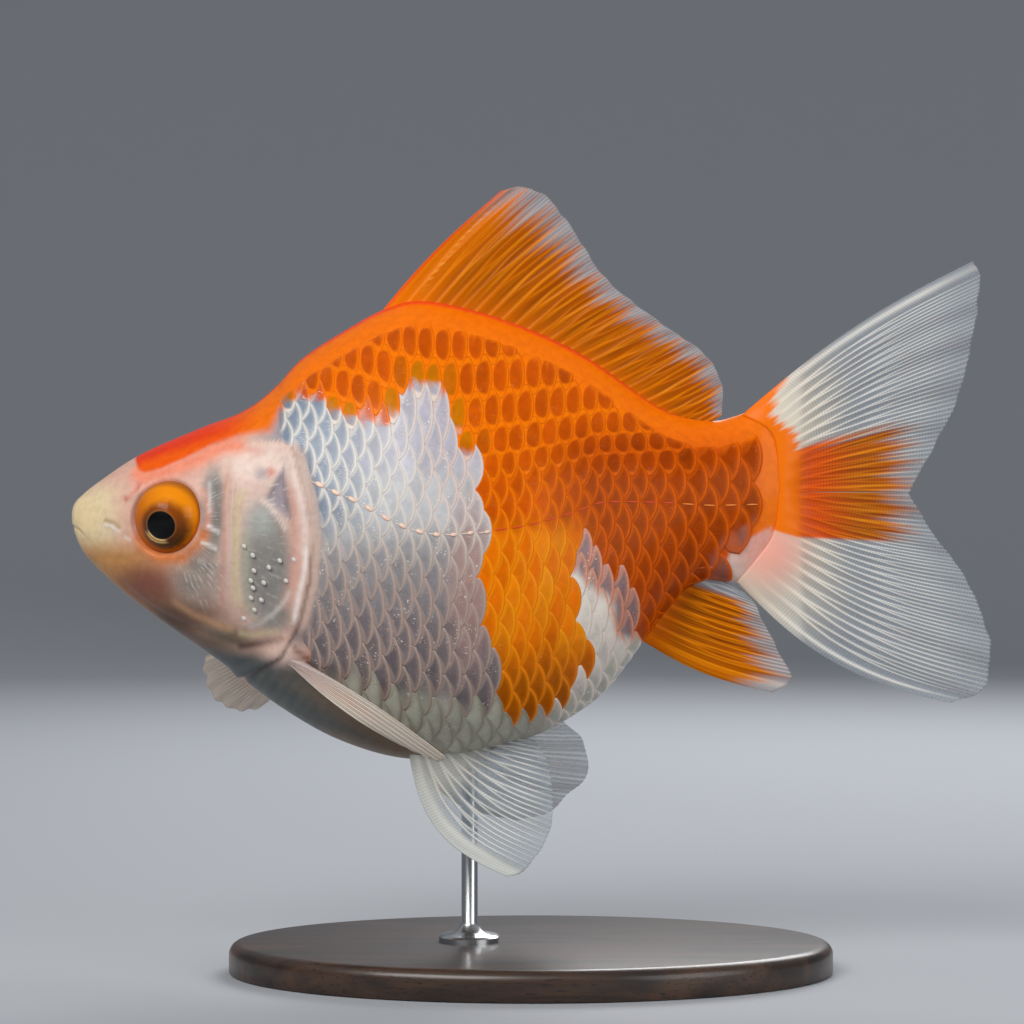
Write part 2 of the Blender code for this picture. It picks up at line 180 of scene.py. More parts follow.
def fold(path, x, z, width):
    """1 along a line, fading out within its width, and towards its two ends."""
    far, place = from_line(path, x, z)
    return np.exp(-((far / width) ** 2)) * step(0, 0.12, place) * step(1, 0.88, place)


def linear(red, green, blue):
    """A colour as the eye names it, 0 to 255, to the light it gives."""
    c = np.array([red, green, blue]) / 255
    return np.where(c <= 0.04045, c / 12.92, ((c + 0.055) / 1.055) ** 2.4)


def mixed(base, colour, share):
    """The base colours turned towards one colour, or towards other colours, by a share."""
    return base + (np.asarray(colour) - base) * np.asarray(share)[..., None]


def layered(base, *coats):
    """A base colour under coats of (colour, share), the last one on top."""
    for colour, share in coats:
        base = mixed(base, colour, share)
    return base


# Outlines of the pale parts of each side: (aft, up). All the rest of the fish is orange.
PALE_LEFT = [
    (-10, 40), (12.2, 40), (12.9, 11), (14, 8.9), (15.5, 8.3), (18.5, 9.1), (23.4, 11.2), (28.5, 13.7),
    (33.7, 15.4), (39.9, 16.4), (40.7, 18.3), (41.6, 20.6), (43.7, 22.6), (49.7, 21.9), (53, 19.6),
    (58.4, 18.1), (62.2, 16.9), (65.6, 23.6), (70.3, 26.4), (73.2, 23.2), (77.4, 12.4), (79.7, 8.5),
    (80.1, 1.9), (82.2, -1.5), (82.3, -5.6), (80, -9.4), (79.9, -16.8), (81.2, -22.6), (83.1, -29.5),
    (84.6, -36.3), (89.3, -39.4), (96.5, -35.2), (98.4, -29.1), (101.4, -28.2), (101.6, -25),
    (98.8, -19.8), (98.6, -15), (97.5, -11), (97.3, -4.1), (98.4, -3.4), (100.9, -8), (104.9, -10.8),
    (104.9, -13.4), (107.7, -13.4), (110.1, -15.7), (109.8, -20), (111, -27), (112, -60), (-10, -60),
]
PALE_RIGHT = [
    (-10, 40), (12.6, 40), (13.4, 11.2), (16, 9), (22, 9.6), (27, 12.4), (32.5, 12), (37, 14),
    (43, 13), (46, 17.6), (51, 20.6), (55.5, 15.8), (58, 8), (63.5, 5), (66.5, -3),
    (70.5, -9), (68.5, -17), (72.5, -24), (77.5, -27), (82, -23), (88.5, -24.5), (90, -15),
    (95, -9.5), (100.5, -11.5), (103, -19), (108.5, -21), (112, -29), (112, -60), (-10, -60),
]
WHITE_TAIL_ROOT = [(127.6, -9.4), (129.4, -6.8), (132.6, -4.6), (136.2, -2.6), (139, -3.6), (142, -4.4),
                   (166, -5.4), (190, -5.4), (190, -50), (128.6, -50)]
ORANGE_BACK = linear(255, 122, 1)
ORANGE_FLANK_AND_SHADE = linear(222, 88, 2)
ORANGE_STRIP = linear(236, 112, 4)
RED_RIDGE = linear(244, 52, 34)
RED_CAP = linear(238, 52, 14)
CAP_ORANGE = linear(248, 96, 2)
FOREHEAD_PINK = linear(228, 182, 164)
SNOUT_CREAM = linear(232, 212, 174)
SALMON = linear(255, 146, 112)
HEAD_PALE = linear(246, 224, 210)
JAW_TAN = linear(206, 146, 84)
CHEEK_BROWN = linear(136, 84, 70)
CHEEK_DARK = linear(112, 78, 60)
CHEEK_SILVER = linear(160, 148, 138)
BONE_GREY = linear(134, 134, 130)
GILL_GREY = linear(138, 136, 132)
GILL_GREEN = linear(180, 184, 178)
GILL_CREAM = linear(214, 194, 158)
GILL_VIOLET = linear(152, 140, 150)
GILL_PINK = linear(214, 158, 142)
MARGIN_PINK = linear(232, 210, 200)
# White for pale edges and for painted highlights along the head's folds.
WHITE_LINE_AND_HIGHLIGHT = linear(246, 236, 228)
CREASE_SHADE_BROWN = linear(110, 62, 50)
THROAT_OLIVE = linear(108, 96, 76)
PEARL_FRONT = linear(132, 146, 164)
PEARL_HIGH = linear(186, 182, 194)
PEARL_MIDDLE = linear(196, 196, 198)
# The lower greys are partly the trunk's own colour and partly painted shade.
PEARL_LOW_AND_SHADE = linear(146, 142, 144)
PEARL_LOWEST_AND_SHADE = linear(112, 102, 104)
PEARL_MAUVE = linear(176, 134, 124)
PEARL_BELLY = linear(190, 188, 172)
# The breast's dark grey-green is partly its see-through skin and partly painted shade.
BREAST_GREY_AND_SHADE = linear(86, 92, 92)
REAR_WHITE = linear(232, 220, 208)
REAR_MAUVE = linear(136, 108, 110)
TAIL_BLUSH = ((136, -6.4), (7.5, 7.5), 1.5)  # a pink spot: centre, radii, sharpness
REAR_BORDER = [(98, -2.6), (99.6, -7), (103.4, -10.2), (106.8, -12.4), (109.4, -15.4), (109.6, -20)]


def pale_depth(x, z, side):
    """How deep a place lies in the pale parts, and minus out in the orange. Side is -1 on the left."""
    left, right = within(PALE_LEFT, x, z), within(PALE_RIGHT, x, z)
    tail = within(WHITE_TAIL_ROOT, x, z)
    return np.maximum(np.where(side < 0, left, right), tail)


def height_share(x, z):
    """How high a place lies on the body, 0 at the belly's edge and 1 at the back's."""
    return (z - belly(x)) / np.maximum(back(x) - belly(x), 0.1)


def pearl_colour(x, z, low_x=None, low_z=None):
    """The bare ground colour of the pale trunk, darker low down and on the breast, partly as painted shade.
    The belly's may go by another place, a scale's middle.
    """
    low_x, low_z = (x, z) if low_x is None else (low_x, low_z)
    belly_edge = -29.5 - 0.2 * (np.clip(low_x, 50, 100) - 50) + 0.9 * (np.clip(low_x, 92, 112) - 92)
    under_fin = z + 31.4 + 0.56 * (x - 50)
    breast = step(78, 64, x) * step(0, -2, under_fin)
    cloud = 0.5 + 0.25 * np.sin(2.3 * x - 1.7 * z)
    cloud += 0.25 * np.sin(1.1 * x + 0.9 * z) * np.sin(0.8 * z - 0.5 * x + 1)
    rear_edge = step(4.6, 2.6, np.abs(from_line(REAR_BORDER, x, z)[0])) * step(94, 97, x)
    # A painted amber glint along the lowest edge of the breast.
    painted_keel_glint = breast * step(0.05, 0.01, height_share(x, z)) * step(46, 54, x)
    return layered(
        PEARL_MIDDLE, (PEARL_HIGH, step(5, 12, z)),
        (PEARL_FRONT, step(66, 50, x) * step(-8, 2, z)),
        # darker towards the belly: partly painted shade
        (PEARL_LOW_AND_SHADE, step(1, -9, z)), (PEARL_LOWEST_AND_SHADE, step(-10, -24, z)),
        (PEARL_MAUVE, 0.75 * spot(x, z, (78.5, -12), (4, 16), 2)),
        (REAR_WHITE, step(91, 95, x) * step(-40, -30, z)), (REAR_MAUVE, rear_edge),
        (PEARL_BELLY, step(0.4, -1.6, low_z - belly_edge)),
        # the breast under the pectoral fin: dark grey, partly painted shade, with blotches
        (BREAST_GREY_AND_SHADE, breast), (linear(128, 128, 118), 0.4 * breast * cloud),
        # painted light and shade: the tan glow and shadow of the pectoral fin lying over the breast
        (linear(150, 122, 98), 0.75 * spot(x, under_fin, (58, -3.2), (13, 3.4), 1.5)),
        (linear(150, 116, 82), 0.6 * painted_keel_glint), (linear(240, 166, 148), 0.9 * spot(x, z, *TAIL_BLUSH)))


def orange_colour(x, z):
    """The bare ground colour of the orange parts, darker on the lower rear flank, partly as painted shade.
    """
    return layered(ORANGE_BACK, (ORANGE_FLANK_AND_SHADE, step(20, 8, z) * step(84, 100, x) * step(136, 130, x)),
                   (ORANGE_STRIP, step(0, -8, z) * step(104, 98, x)))


HEAD_SPOTS = [  # colour, share, centre, radii, how sharp its rim is
    (HEAD_PALE, 0.9, (38.5, 10.4), (9, 4.4), 1.6), (linear(226, 150, 138), 0.6, (37.2, 12.4), (2, 0.9), 1.2),
    (CHEEK_BROWN, 0.95, (16.6, -13.6), (7.6, 4.6), 1.6), (CHEEK_DARK, 0.95, (23, -19.4), (8.6, 4), 1.6),
    (THROAT_OLIVE, 0.9, (31.6, -24), (6.6, 3), 1.4), (CHEEK_SILVER, 0.9, (26.4, -12), (5.2, 5.6), 1.8),
    (BONE_GREY, 0.92, (29.1, 0.6), (2.5, 9), 3), (GILL_GREY, 0.97, (39.8, -9.8), (5, 11.6), 2.8),
    (GILL_GREEN, 0.9, (38.6, -1), (3, 3.4), 1.4), (GILL_GREY, 0.8, (41.4, -19.6), (4, 3.2), 1.6),
    (GILL_VIOLET, 0.7, (38.6, 8), (1.5, 1.3), 1.4),
    (linear(216, 112, 98), 0.7, (40.4, 8.3), (1.1, 0.9), 1.2),
]
GILL_BONE = [(38, 3.4), (40, 1.8), (42.1, -0.6), (43.8, -3.2)]
HEAD_LINES = [  # colour, share, half width, the line
    (SALMON, 0.85, 1.7, [(12, 9.8), (15.2, 7.2), (20, 8.6), (25.4, 10.6), (31, 13.4), (37, 13.6)]),
    (linear(206, 152, 136), 0.65, 0.6, [(32.4, 10), (31.6, 3), (31.7, -5), (31.4, -13), (31, -20)]),
    (GILL_CREAM, 0.85, 0.9, [(35.4, 6), (33.9, 1), (33.9, -6), (33.7, -13), (34.6, -19)]),
    (linear(176, 174, 156), 0.8, 0.9, [(35.9, -2), (35.7, -8), (36, -16), (37.2, -20)]),
    (GILL_PINK, 0.6, 1.1, [(44, 7), (45.4, 1), (45.6, -6), (44.9, -13), (43, -18.6)]),
    (MARGIN_PINK, 0.9, 1.1, [(42.4, 12.6), (44.8, 8), (46.8, 2), (47.4, -4), (46.8, -9)]),
    (linear(222, 128, 66), 0.9, 1.3,
     [(13.6, -2), (15.6, -6), (19, -8.2), (23.5, -8), (27.2, -5), (28.2, -1.4)]),
    (linear(232, 164, 142), 0.8, 0.8, [(27, 6), (28.4, 1), (28.2, -3)]),
    (linear(240, 218, 208), 0.8, 0.4, GILL_BONE),
    (linear(204, 196, 188), 0.8, 0.5,
     [(35.4, -21.6), (38.4, -20.6), (41, -18.9), (43.5, -16.2), (44.8, -13.6)]),
    (linear(206, 160, 122), 0.7, 0.8, [(20.4, -15.6), (25, -19), (30, -21.2), (33.6, -22)]),
    (WHITE_LINE_AND_HIGHLIGHT, 0.85, 0.55, [(48, -5), (47.1, -11), (45.9, -16.4), (45, -21)]),
    # white streaks on the ridges behind and below the eye: painted highlights
    (WHITE_LINE_AND_HIGHLIGHT, 0.75, 0.4, [(28, -1.8), (30.9, -3.5)]), (WHITE_LINE_AND_HIGHLIGHT, 0.8, 0.4, [(26.8, -5), (30.4, -6.5)]),
    (WHITE_LINE_AND_HIGHLIGHT, 0.55, 0.4, [(26.2, -8.6), (28.2, -9.3)]), (WHITE_LINE_AND_HIGHLIGHT, 0.5, 0.4, [(28.4, 7), (28.6, 0)]),
    # the upper lip's fold: a painted shadow line above two painted highlight lines
    (linear(168, 148, 108), 0.7, 0.5, [(7.2, -0.8), (9.4, -1.4), (11.2, -2.8)]),
    (WHITE_LINE_AND_HIGHLIGHT, 0.85, 0.35, [(7.2, -1.7), (9.2, -2.2), (11.1, -3.5)]),
    (WHITE_LINE_AND_HIGHLIGHT, 0.5, 0.35, [(11.6, -4), (13.2, -5)]),
    (linear(206, 190, 150), 0.7, 0.6, [(33.6, -22.4), (37, -23), (42.6, -21.8)]),
    # painted shade in the crease below the gill cover
    (linear(74, 50, 40), 0.75, 0.7, [(33, -25.6), (38, -24.5), (44, -23.4)]),
]
GILL_TRIANGLE = [(42.8, 9.6), (39.6, 3.4), (44.9, -1.6)]


def head_colour(x, z):
    """The pale head: cream snout, tan jaw, brown cheek, grey bones seen through, pink seams and edges,
    with painted highlights and shadows along some folds and painted shade underneath.
    """
    colour = layered(
        FOREHEAD_PINK, (SNOUT_CREAM, step(14, 6, x) * step(9, 3, z)),
        (JAW_TAN, 0.95 * step(-3, -8.5, z) * step(30, 12, x)),
        (linear(240, 214, 160), 0.5 * spot(x, z, (3.4, -0.6), (4.4, 4.6))),
        (linear(206, 186, 174), 0.7 * spot(x, z, (36, -6), (10, 16), 1.5)),
        *((tint, share * spot(x, z, *patch)) for tint, share, *patch in HEAD_SPOTS),
        (GILL_VIOLET, 0.95 * step(-0.4, 0.5, within(GILL_TRIANGLE, x, z))),
        *((tint, share * fold(line, x, z, width)) for tint, share, width, line in HEAD_LINES))
    # The underside of the head, and the breast below it, are darkened: painted shade.
    painted_throat_shade = step(0.13, 0.02, height_share(x, z)) * step(12, 22, x) * step(-4, -10, z)
    return layered(colour, (linear(64, 50, 42), 0.75 * painted_throat_shade), (BREAST_GREY_AND_SHADE, step(-25, -28, z)))


def fibre_share(x, z):
    """Where pale fibres show through: the cheek, the ring of bones behind the eye, the gill cover."""
    spots = [(1, (27, -11.5), (4.8, 6)), (0.9, (29.2, 2), (2.2, 6.6)), (0.45, (39.8, -9.8), (4.6, 11)),
             (0.9, (42, 4), (2.6, 5))]
    return np.maximum.reduce([share * spot(x, z, centre, radii, 2) for share, centre, radii in spots])


NOSTRIL_PINK = linear(236, 146, 126)
MOUTH_SLIT = [(-1.5, -2.1), (0.9, -2.3), (2.2, -3), (3.8, -4.5), (5.4, -6.4), (6.2, -7.6)]


def skin_colour(points):
    """Every colour of the skin at a list of places, with the folds' darker lines of painted shade."""
    x, y, z = points.T
    gill = from_line(GILL_LINE, x, z)[0]
    behind = np.where(z > 14.4, step(34, 46, x), step(-0.3, 0.5, gill))
    gill_band = step(3, 1.4, gill) * (gill > 0) * step(-24, -20, z) * (z < 17)
    pale = layered(
        head_colour(x, z), (pearl_colour(x, z), behind), (linear(214, 184, 168), 0.85 * gill_band),
        (linear(196, 128, 98), 0.9 * spot(x, z, (49, -26.6), (3.4, 2.6), 1.6)),
        (linear(226, 196, 182), 0.9 * spot(x, z, (43.6, -26.2), (4.4, 2.8), 1.4)),
        # painted shade in the crease behind the pectoral fin's root
        (CREASE_SHADE_BROWN, 0.7 * fold([(44.6, -24.4), (47.4, -27), (51, -31.4)], x, z, 0.5)))
    high = height_share(x, z)
    before_tail = step(122, 114, x)
    orange = layered(
        orange_colour(x, z), (CAP_ORANGE, step(38, 30, x)),
        (RED_CAP, 0.9 * step(40, 24, x) * step(0.9, 0.96, high)),
        (RED_RIDGE, 0.8 * step(0.985, 0.997, high) * before_tail),
        (RED_RIDGE, 0.5 * step(0.98, 0.995, high) * step(84, 100, x) * before_tail))
    soft = np.where(x < 44, 0.4 + 0.05 * np.maximum(x - 22, 0), 0.5)
    slit, place = from_line(MOUTH_SLIT, x, z)
    nostril = np.maximum(0.6 * fold([(14.9, 6.6), (14.2, 5.2), (12.4, 3.6), (11.2, 3)], x, z, 0.45),
                         0.8 * spot(x, z, (14, 5.4), (0.8, 1), 1.3))
    return layered(
        orange, (pale, step(-soft, soft, pale_depth(x, z, np.sign(y)))),
        # painted shade along the mouth slit
        (linear(168, 124, 88), 0.4 * np.exp(-((slit / 0.3) ** 2)) * step(0.8, 0.4, place)),
        # a painted shadow just behind the lower edge of the gill cover
        (linear(96, 62, 54), 0.5 * step(0, 0.2, gill) * step(1, 0.5, gill) * step(-4, -9, z)),
        (NOSTRIL_PINK, nostril), (linear(176, 100, 84), 0.6 * spot(x, z, (11.7, 3.1), (0.6, 0.45))))


def eye_axis(side):
    return np.array([-math.sin(EYE_TURN), side * math.cos(EYE_TURN), 0])


def eye_middle(side):
    x, z = EYE_CENTRE
    return np.array([x, side * (float(side_depth(x, z)) - EYE_INSET), z])


def from_eye(points, side):
    """Distance of each place from the line the eye looks along, on that side of the head."""
    offset = points - eye_middle(side)
    ahead = offset @ eye_axis(side)
    far = np.linalg.norm(offset - ahead[:, None] * eye_axis(side), axis=1)
    return np.where(ahead > -2, far, 99)


def bare_share(x, z):
    """1 where the fish has no scales: head, breast, and the band under the back fin. 0 where it has."""
    gill = from_line(GILL_LINE, x, z)[0]
    nape = step(10.5, 15, z)
    head = nape * step(43.8 - 0.12 * (z - 13), 40 - 0.12 * (z - 13), x) + (1 - nape) * step(3.2, 0.9, gill)
    top = step(-6.5, -3.6, z - back(x)) * step(38, 46, x)
    breast = step(0, -2, z + 31.4 + 0.56 * (x - 50)) * step(78, 72, x)
    tail = step(137, 139.5, x)
    return np.maximum.reduce([head, top, breast, tail])


FLANK_FOLDS = [  # rise, width, the line: seams and edges of the bones under the skin
    (0.3, 0.9, [(32.4, 10), (31.8, 3), (31.8, -5), (31.6, -13), (31.4, -20)]),
    (0.2, 0.6, [(35.2, 6), (34, 1), (34, -6), (34, -13), (35, -19)]),
    (-0.16, 0.4, [(33.2, 8), (32.9, 1), (32.9, -7), (33, -15)]), (0.22, 0.45, GILL_BONE),
    (0.3, 0.8, [(43.4, 9.6), (45.4, 2), (45.6, -6), (44.4, -14), (41.6, -21)]),
    (0.28, 0.7, [(34.2, -20.9), (37.2, -20.4), (40.1, -19.3), (43, -17.2), (45.1, -14.5)]),
    (-0.24, 0.7, [(34.6, 10.8), (38.5, 11.6), (42.6, 10.4)]),
    (0.2, 0.42, [(26.6, -2), (28.6, -2.6), (31, -3.5)]),
    (0.2, 0.42, [(26.2, -5.2), (28, -5.8), (30.6, -6.5)]),
    (0.2, 0.42, [(25.6, -8.6), (28, -9), (30.6, -9.5)]),
    (0.2, 0.42, [(7.4, -1.6), (9.4, -2.2), (11.1, -3.3)]),
    (-0.3, 0.8, [(9, -11.8), (14, -16.2), (21, -20.6), (29, -23.6), (37, -26.2)]),
    (-0.12, 0.8, [(6.2, -7.4), (8.6, -8.4), (12, -8.6), (15.4, -7.6)]),
]
FLANK_SPOTS = [  # rise, centre, radii, how sharp its rim is
    (-0.3, (39.9, -9.6), (4.4, 10.6), 3), (-0.3, (29.1, 0.8), (1.4, 5.6), 2),
    (0.5, (19.5, -14.5), (7, 5), 1.4), (1.3, (44, -26.7), (3.6, 2.6), 1.2),
]


def skin_relief(points):
    """How far each place of the skin stands out of the full outline, minus where it lies inside."""
    x, y, z = points.T
    flank = step(0.2, 0.6, np.abs(y) / np.maximum(half_width(x), 0.1))
    bare = bare_share(x, z)
    rise = -BARE_DEPTH * bare - SCALED_DEPTH * (1 - bare)
    gill = from_line(GILL_LINE, x, z)[0]
    on_gill = step(14.4, 11.5, z)
    rise += on_gill * 0.42 * step(-2.6, -0.4, gill) * step(0.15, -0.1, gill)
    rise -= on_gill * 0.3 * step(-0.05, 0.35, gill) * step(1.8, 0.6, gill)
    for amount, width, line in FLANK_FOLDS:
        rise += flank * amount * fold(line, x, z, width)
    for amount, centre, radii, power in FLANK_SPOTS:
        rise += flank * amount * spot(x, z, centre, radii, power)
    rise -= flank * 0.3 * step(-0.2, 0.7, within(GILL_TRIANGLE, x, z))
    slit, share = from_line(MOUTH_SLIT, x, z)
    rise -= 0.16 * np.exp(-((slit / 0.28) ** 2)) * step(1, 0.86, share) * step(0.75, 0.35, share)
    # the nostril's flap and its two pits
    rise += 0.2 * fold([(15.2, 6.2), (14.6, 4.6), (12.8, 3.2)], x, z, 0.4)
    rise -= 0.4 * spot(x, z, (13.9, 5.6), (0.7, 0.9), 1.4)
    rise -= 0.35 * spot(x, z, (11.8, 3.2), (0.55, 0.5), 1.4)
    for side in (-1, 1):
        far = from_eye(points, side)
        rise += 0.14 * np.exp(-(((far - 8) / 0.6) ** 2)) - 1.25 * step(7.5, 6.7, far)
    return rise


def from_ball(shape):
    """Share of the rings from the snout, and direction round the section, of each point of a unit ball."""
    ball = np.array([v.co for v in shape.verts])
    ring = np.hypot(ball[:, 0], ball[:, 1])
    share = np.arccos(np.clip(ball[:, 2], -1, 1)) / math.pi
    safe = np.maximum(ring, 1e-9)
    tip = ring < 1e-6
    return share, np.where(tip, 0, ball[:, 0] / safe), np.where(tip, 0, ball[:, 1] / safe), tip


def move_points(shape, points):
    for v, co in zip(shape.verts, points):
        v.co = co


def normals_of(shape):
    shape.normal_update()
    return np.array([v.normal for v in shape.verts])


def to_object(name, shape, finish):
    """A smooth object from a finished bmesh."""
    mesh = bpy.data.meshes.new(name)
    shape.to_mesh(mesh)
    shape.free()
    mesh.materials.append(finish)
    mesh.shade_smooth()
    made = bpy.data.objects.new(name, mesh)
    bpy.context.scene.collection.objects.link(made)
    return made


def paint(made, layer, colours):
    """A colour or one value for each point of a mesh, kept in a named layer that its finish reads."""
    colours = np.asarray(colours)
    attribute = made.data.color_attributes.new(layer, "FLOAT_COLOR", "POINT")
    flat = np.ones((len(made.data.vertices), 4), np.float32)
    flat[:, :3] = np.clip(colours if colours.ndim > 1 else colours[:, None], 0, 1)
    attribute.data.foreach_set("color", flat.ravel())


def unwrap(made, layer, corner_uv):
    """A UV map from one (u, v) for each corner of each face."""
    layer = made.data.uv_layers.new(name=layer)
    layer.data.foreach_set("uv", np.asarray(corner_uv, np.float32).ravel())


def corners_of(made):
    """The point that each face corner stands on."""
    found = np.empty(len(made.data.loops), np.int32)
    made.data.loops.foreach_get("vertex_index", found)
    return found


def sum_of(kind, swapped=False):
    """Arithmetic between wires, or a wire and a number."""
    return lambda a, b: a.finish.math(kind, *((b, a) if swapped else (a, b)))


class Wire:
    """What one shader node hands to the next, with plain arithmetic."""

    def __init__(self, finish, socket):
        self.finish, self.socket = finish, socket

    __add__ = __radd__ = sum_of("ADD")
    __mul__ = __rmul__ = sum_of("MULTIPLY")
    __sub__, __rsub__ = sum_of("SUBTRACT"), sum_of("SUBTRACT", True)
    __truediv__, __pow__ = sum_of("DIVIDE"), sum_of("POWER")


class Finish:
    """A material with a Principled shader, and short ways to feed it."""

    def __init__(self, name, **values):
        self.material = bpy.data.materials.new(name)
        self.material.use_nodes = True
        self.tree = self.material.node_tree
        self.shader = self.tree.nodes["Principled BSDF"]
        for socket, value in values.items():
            self.give(self.shader.inputs[socket.replace("_", " ")], value)

    def give(self, target, value):
        if isinstance(value, Wire):
            self.tree.links.new(value.socket, target)
        else:
            target.default_value = value

    def add(self, kind, inputs=None, output=0, **settings):
        node = self.tree.nodes.new("ShaderNode" + kind)
        for name, value in settings.items():
            setattr(node, name, value)
        for key, value in (inputs or {}).items():
            self.give(node.inputs[key], value)
        return Wire(self, node.outputs[output])

    def feed(self, socket, source):
        self.give(self.shader.inputs[socket], source)

    def math(self, operation, a, b=0):
        return self.add("Math", {0: a, 1: b}, operation=operation)

    def ramp(self, value, low, high):
        """0 below low, 1 above high, and a smooth rise between."""
        return self.add("MapRange", {"Value": value, "From Min": low, "From Max": high},
                        interpolation_type="SMOOTHSTEP")

    def blend(self, share, a, b, how="MIX"):
        made = self.add("Mix", data_type="RGBA", blend_type=how)
        node = made.socket.node
        for name, value in (("Factor_Float", share), ("A_Color", a), ("B_Color", b)):
            self.give(next(s for s in node.inputs if s.identifier == name), value)
        return Wire(self, next(s for s in node.outputs if s.identifier == "Result_Color"))

    def noise(self, scale, detail=2, where=None, **more):
        where = where or self.place()
        return self.add("TexNoise", {"Vector": where, "Scale": scale, "Detail": detail, **more}, "Fac")

    def place(self):
        return self.add("TexCoord", output="Object")

    def axes(self, vector):
        return [self.add("SeparateXYZ", {0: vector}, output=axis) for axis in "XYZ"]

    def layer(self, name, output="Fac"):
        return self.add("Attribute", output=output, attribute_name=name)

    def bump(self, height, distance, strength):
        self.feed("Normal", self.add("Bump", {"Height": height, "Distance": distance, "Strength": strength}))


skin_finish = Finish("skin", Roughness=0.42, Subsurface_Weight=0.12, Subsurface_Scale=0.001,
                     Subsurface_Radius=(1, 0.4, 0.25), Coat_Weight=0.12, Coat_Roughness=0.1,
                     Specular_IOR_Level=0.12)
ground = skin_finish.layer("colour", "Color")
ground = skin_finish.blend(skin_finish.ramp(skin_finish.noise(700, 3), 0.35, 0.7), ground,
                           (0.91, 0.88, 0.87, 1), "MULTIPLY")
fibrous = skin_finish.layer("fibre")
place = skin_finish.axes(skin_finish.place())
round_eye = skin_finish.math("ARCTAN2", place[2] - (EYE_CENTRE[1] + SNOUT_HEIGHT) * MM,
                             place[0] - (EYE_CENTRE[0] - TOTAL_LENGTH / 2) * MM)
waver = skin_finish.noise(260, 3)
patchy = skin_finish.ramp(skin_finish.noise(560), 0.45, 0.62)
fibres = skin_finish.ramp(skin_finish.math("SINE", round_eye * 95 + waver * 9), 0.2, 1) * patchy * fibrous
clouds = skin_finish.ramp(waver, 0.42, 0.62) * fibrous
ground = skin_finish.blend(clouds * 0.4, ground, (0.16, 0.16, 0.15, 1))
ground = skin_finish.blend(fibres * 0.4, ground, (0.78, 0.74, 0.7, 1))
skin_finish.feed("Base Color", ground)
skin_finish.bump(skin_finish.noise(1500, 3), 0.0001, 0.4)

shape = bmesh.new()
bmesh.ops.create_uvsphere(shape, u_segments=SKIN_AROUND, v_segments=SKIN_RINGS, radius=1)
ring_share, ups, outs, tips = from_ball(shape)
ring_x = table(RING_PLACES)(ring_share)
flesh = body_at(np.clip(ring_x, 0, BODY_LENGTH), ups, outs)
flesh[tips & (ring_share < 0.5)] = (0, 0, 0)
flesh[tips & (ring_share > 0.5)] = (BODY_LENGTH, 0, TAIL_END_HEIGHT)
move_points(shape, flesh)
flesh_shaped = flesh + normals_of(shape) * skin_relief(flesh)[:, None]
move_points(shape, to_model(flesh_shaped))
skin = to_object("skin", shape, skin_finish.material)
paint(skin, "colour", skin_colour(flesh))
behind_head = step(0, -1, from_line(GILL_LINE, flesh[:, 0], flesh[:, 2])[0])
paint(skin, "fibre", fibre_share(flesh[:, 0], flesh[:, 2]) * behind_head)
corners = corners_of(skin)
turn = np.arctan2(outs, -ups) / (2 * math.pi) + 0.5  # the seam runs along the belly
corner_turn = turn[corners].reshape(-1)
starts = np.empty(len(skin.data.polygons), np.int32)
skin.data.polygons.foreach_get("loop_start", starts)
sizes = np.empty(len(skin.data.polygons), np.int32)
skin.data.polygons.foreach_get("loop_total", sizes)
face_of = np.repeat(np.arange(len(starts)), sizes)
pole = tips[corners]
highest = np.maximum.reduceat(np.where(pole, -9, corner_turn), starts)[face_of]
lowest = np.minimum.reduceat(np.where(pole, 9, corner_turn), starts)[face_of]
wrapped = highest - lowest > 0.5
corner_turn = np.where(wrapped & (corner_turn < 0.5), corner_turn + 1, corner_turn)
corner_turn = np.where(pole, (highest + lowest) / 2, corner_turn)
unwrap(skin, "OFBake", np.stack([0.01 + 0.98 * ring_share[corners], 0.01 + 0.97 * corner_turn], axis=1))
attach(skin, "root")
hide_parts("head", "lower_jaw", "gill_cover_left", "gill_cover_right", "trunk", "tail_stock")

# ==================================================================== the eyes
# Two round eyes set in the sockets, turned a little forward. Each is a ball flattened along its line of
# sight, with an orange ring, a brown iris, a gold crescent of painted glint and a black pupil under a
# clear wet front.
IRIS_FORWARD = math.radians(12)  # the iris looks this far forward of straight out
IRIS_DOWN = math.radians(15)  # and this far down
PUPIL = 2.75
IRIS = 5
IRIS_AMBER = (*linear(196, 98, 2), 1)
IRIS_ORANGE = (*linear(244, 142, 2), 1)
IRIS_UMBER = (*linear(74, 40, 1), 1)
IRIS_BROWN = (*linear(146, 68, 3), 1)
IRIS_DUN = (*linear(100, 56, 30), 1)
IRIS_SPOKE = (*linear(190, 110, 20), 1)
IRIS_RING = (*linear(150, 104, 60), 1)
IRIS_GOLD = (*linear(190, 130, 50), 1)
IRIS_GLEAM = (*linear(250, 214, 150), 1)
IRIS_RIM = (*linear(128, 66, 2), 1)
PUPIL_BLACK = (0.002, 0.002, 0.002, 1)


def iris_axis(side):
    level = math.cos(IRIS_DOWN)
    fore, out = math.sin(IRIS_FORWARD) * level, math.cos(IRIS_FORWARD) * level
    return np.array([-fore, side * out, -math.sin(IRIS_DOWN)])


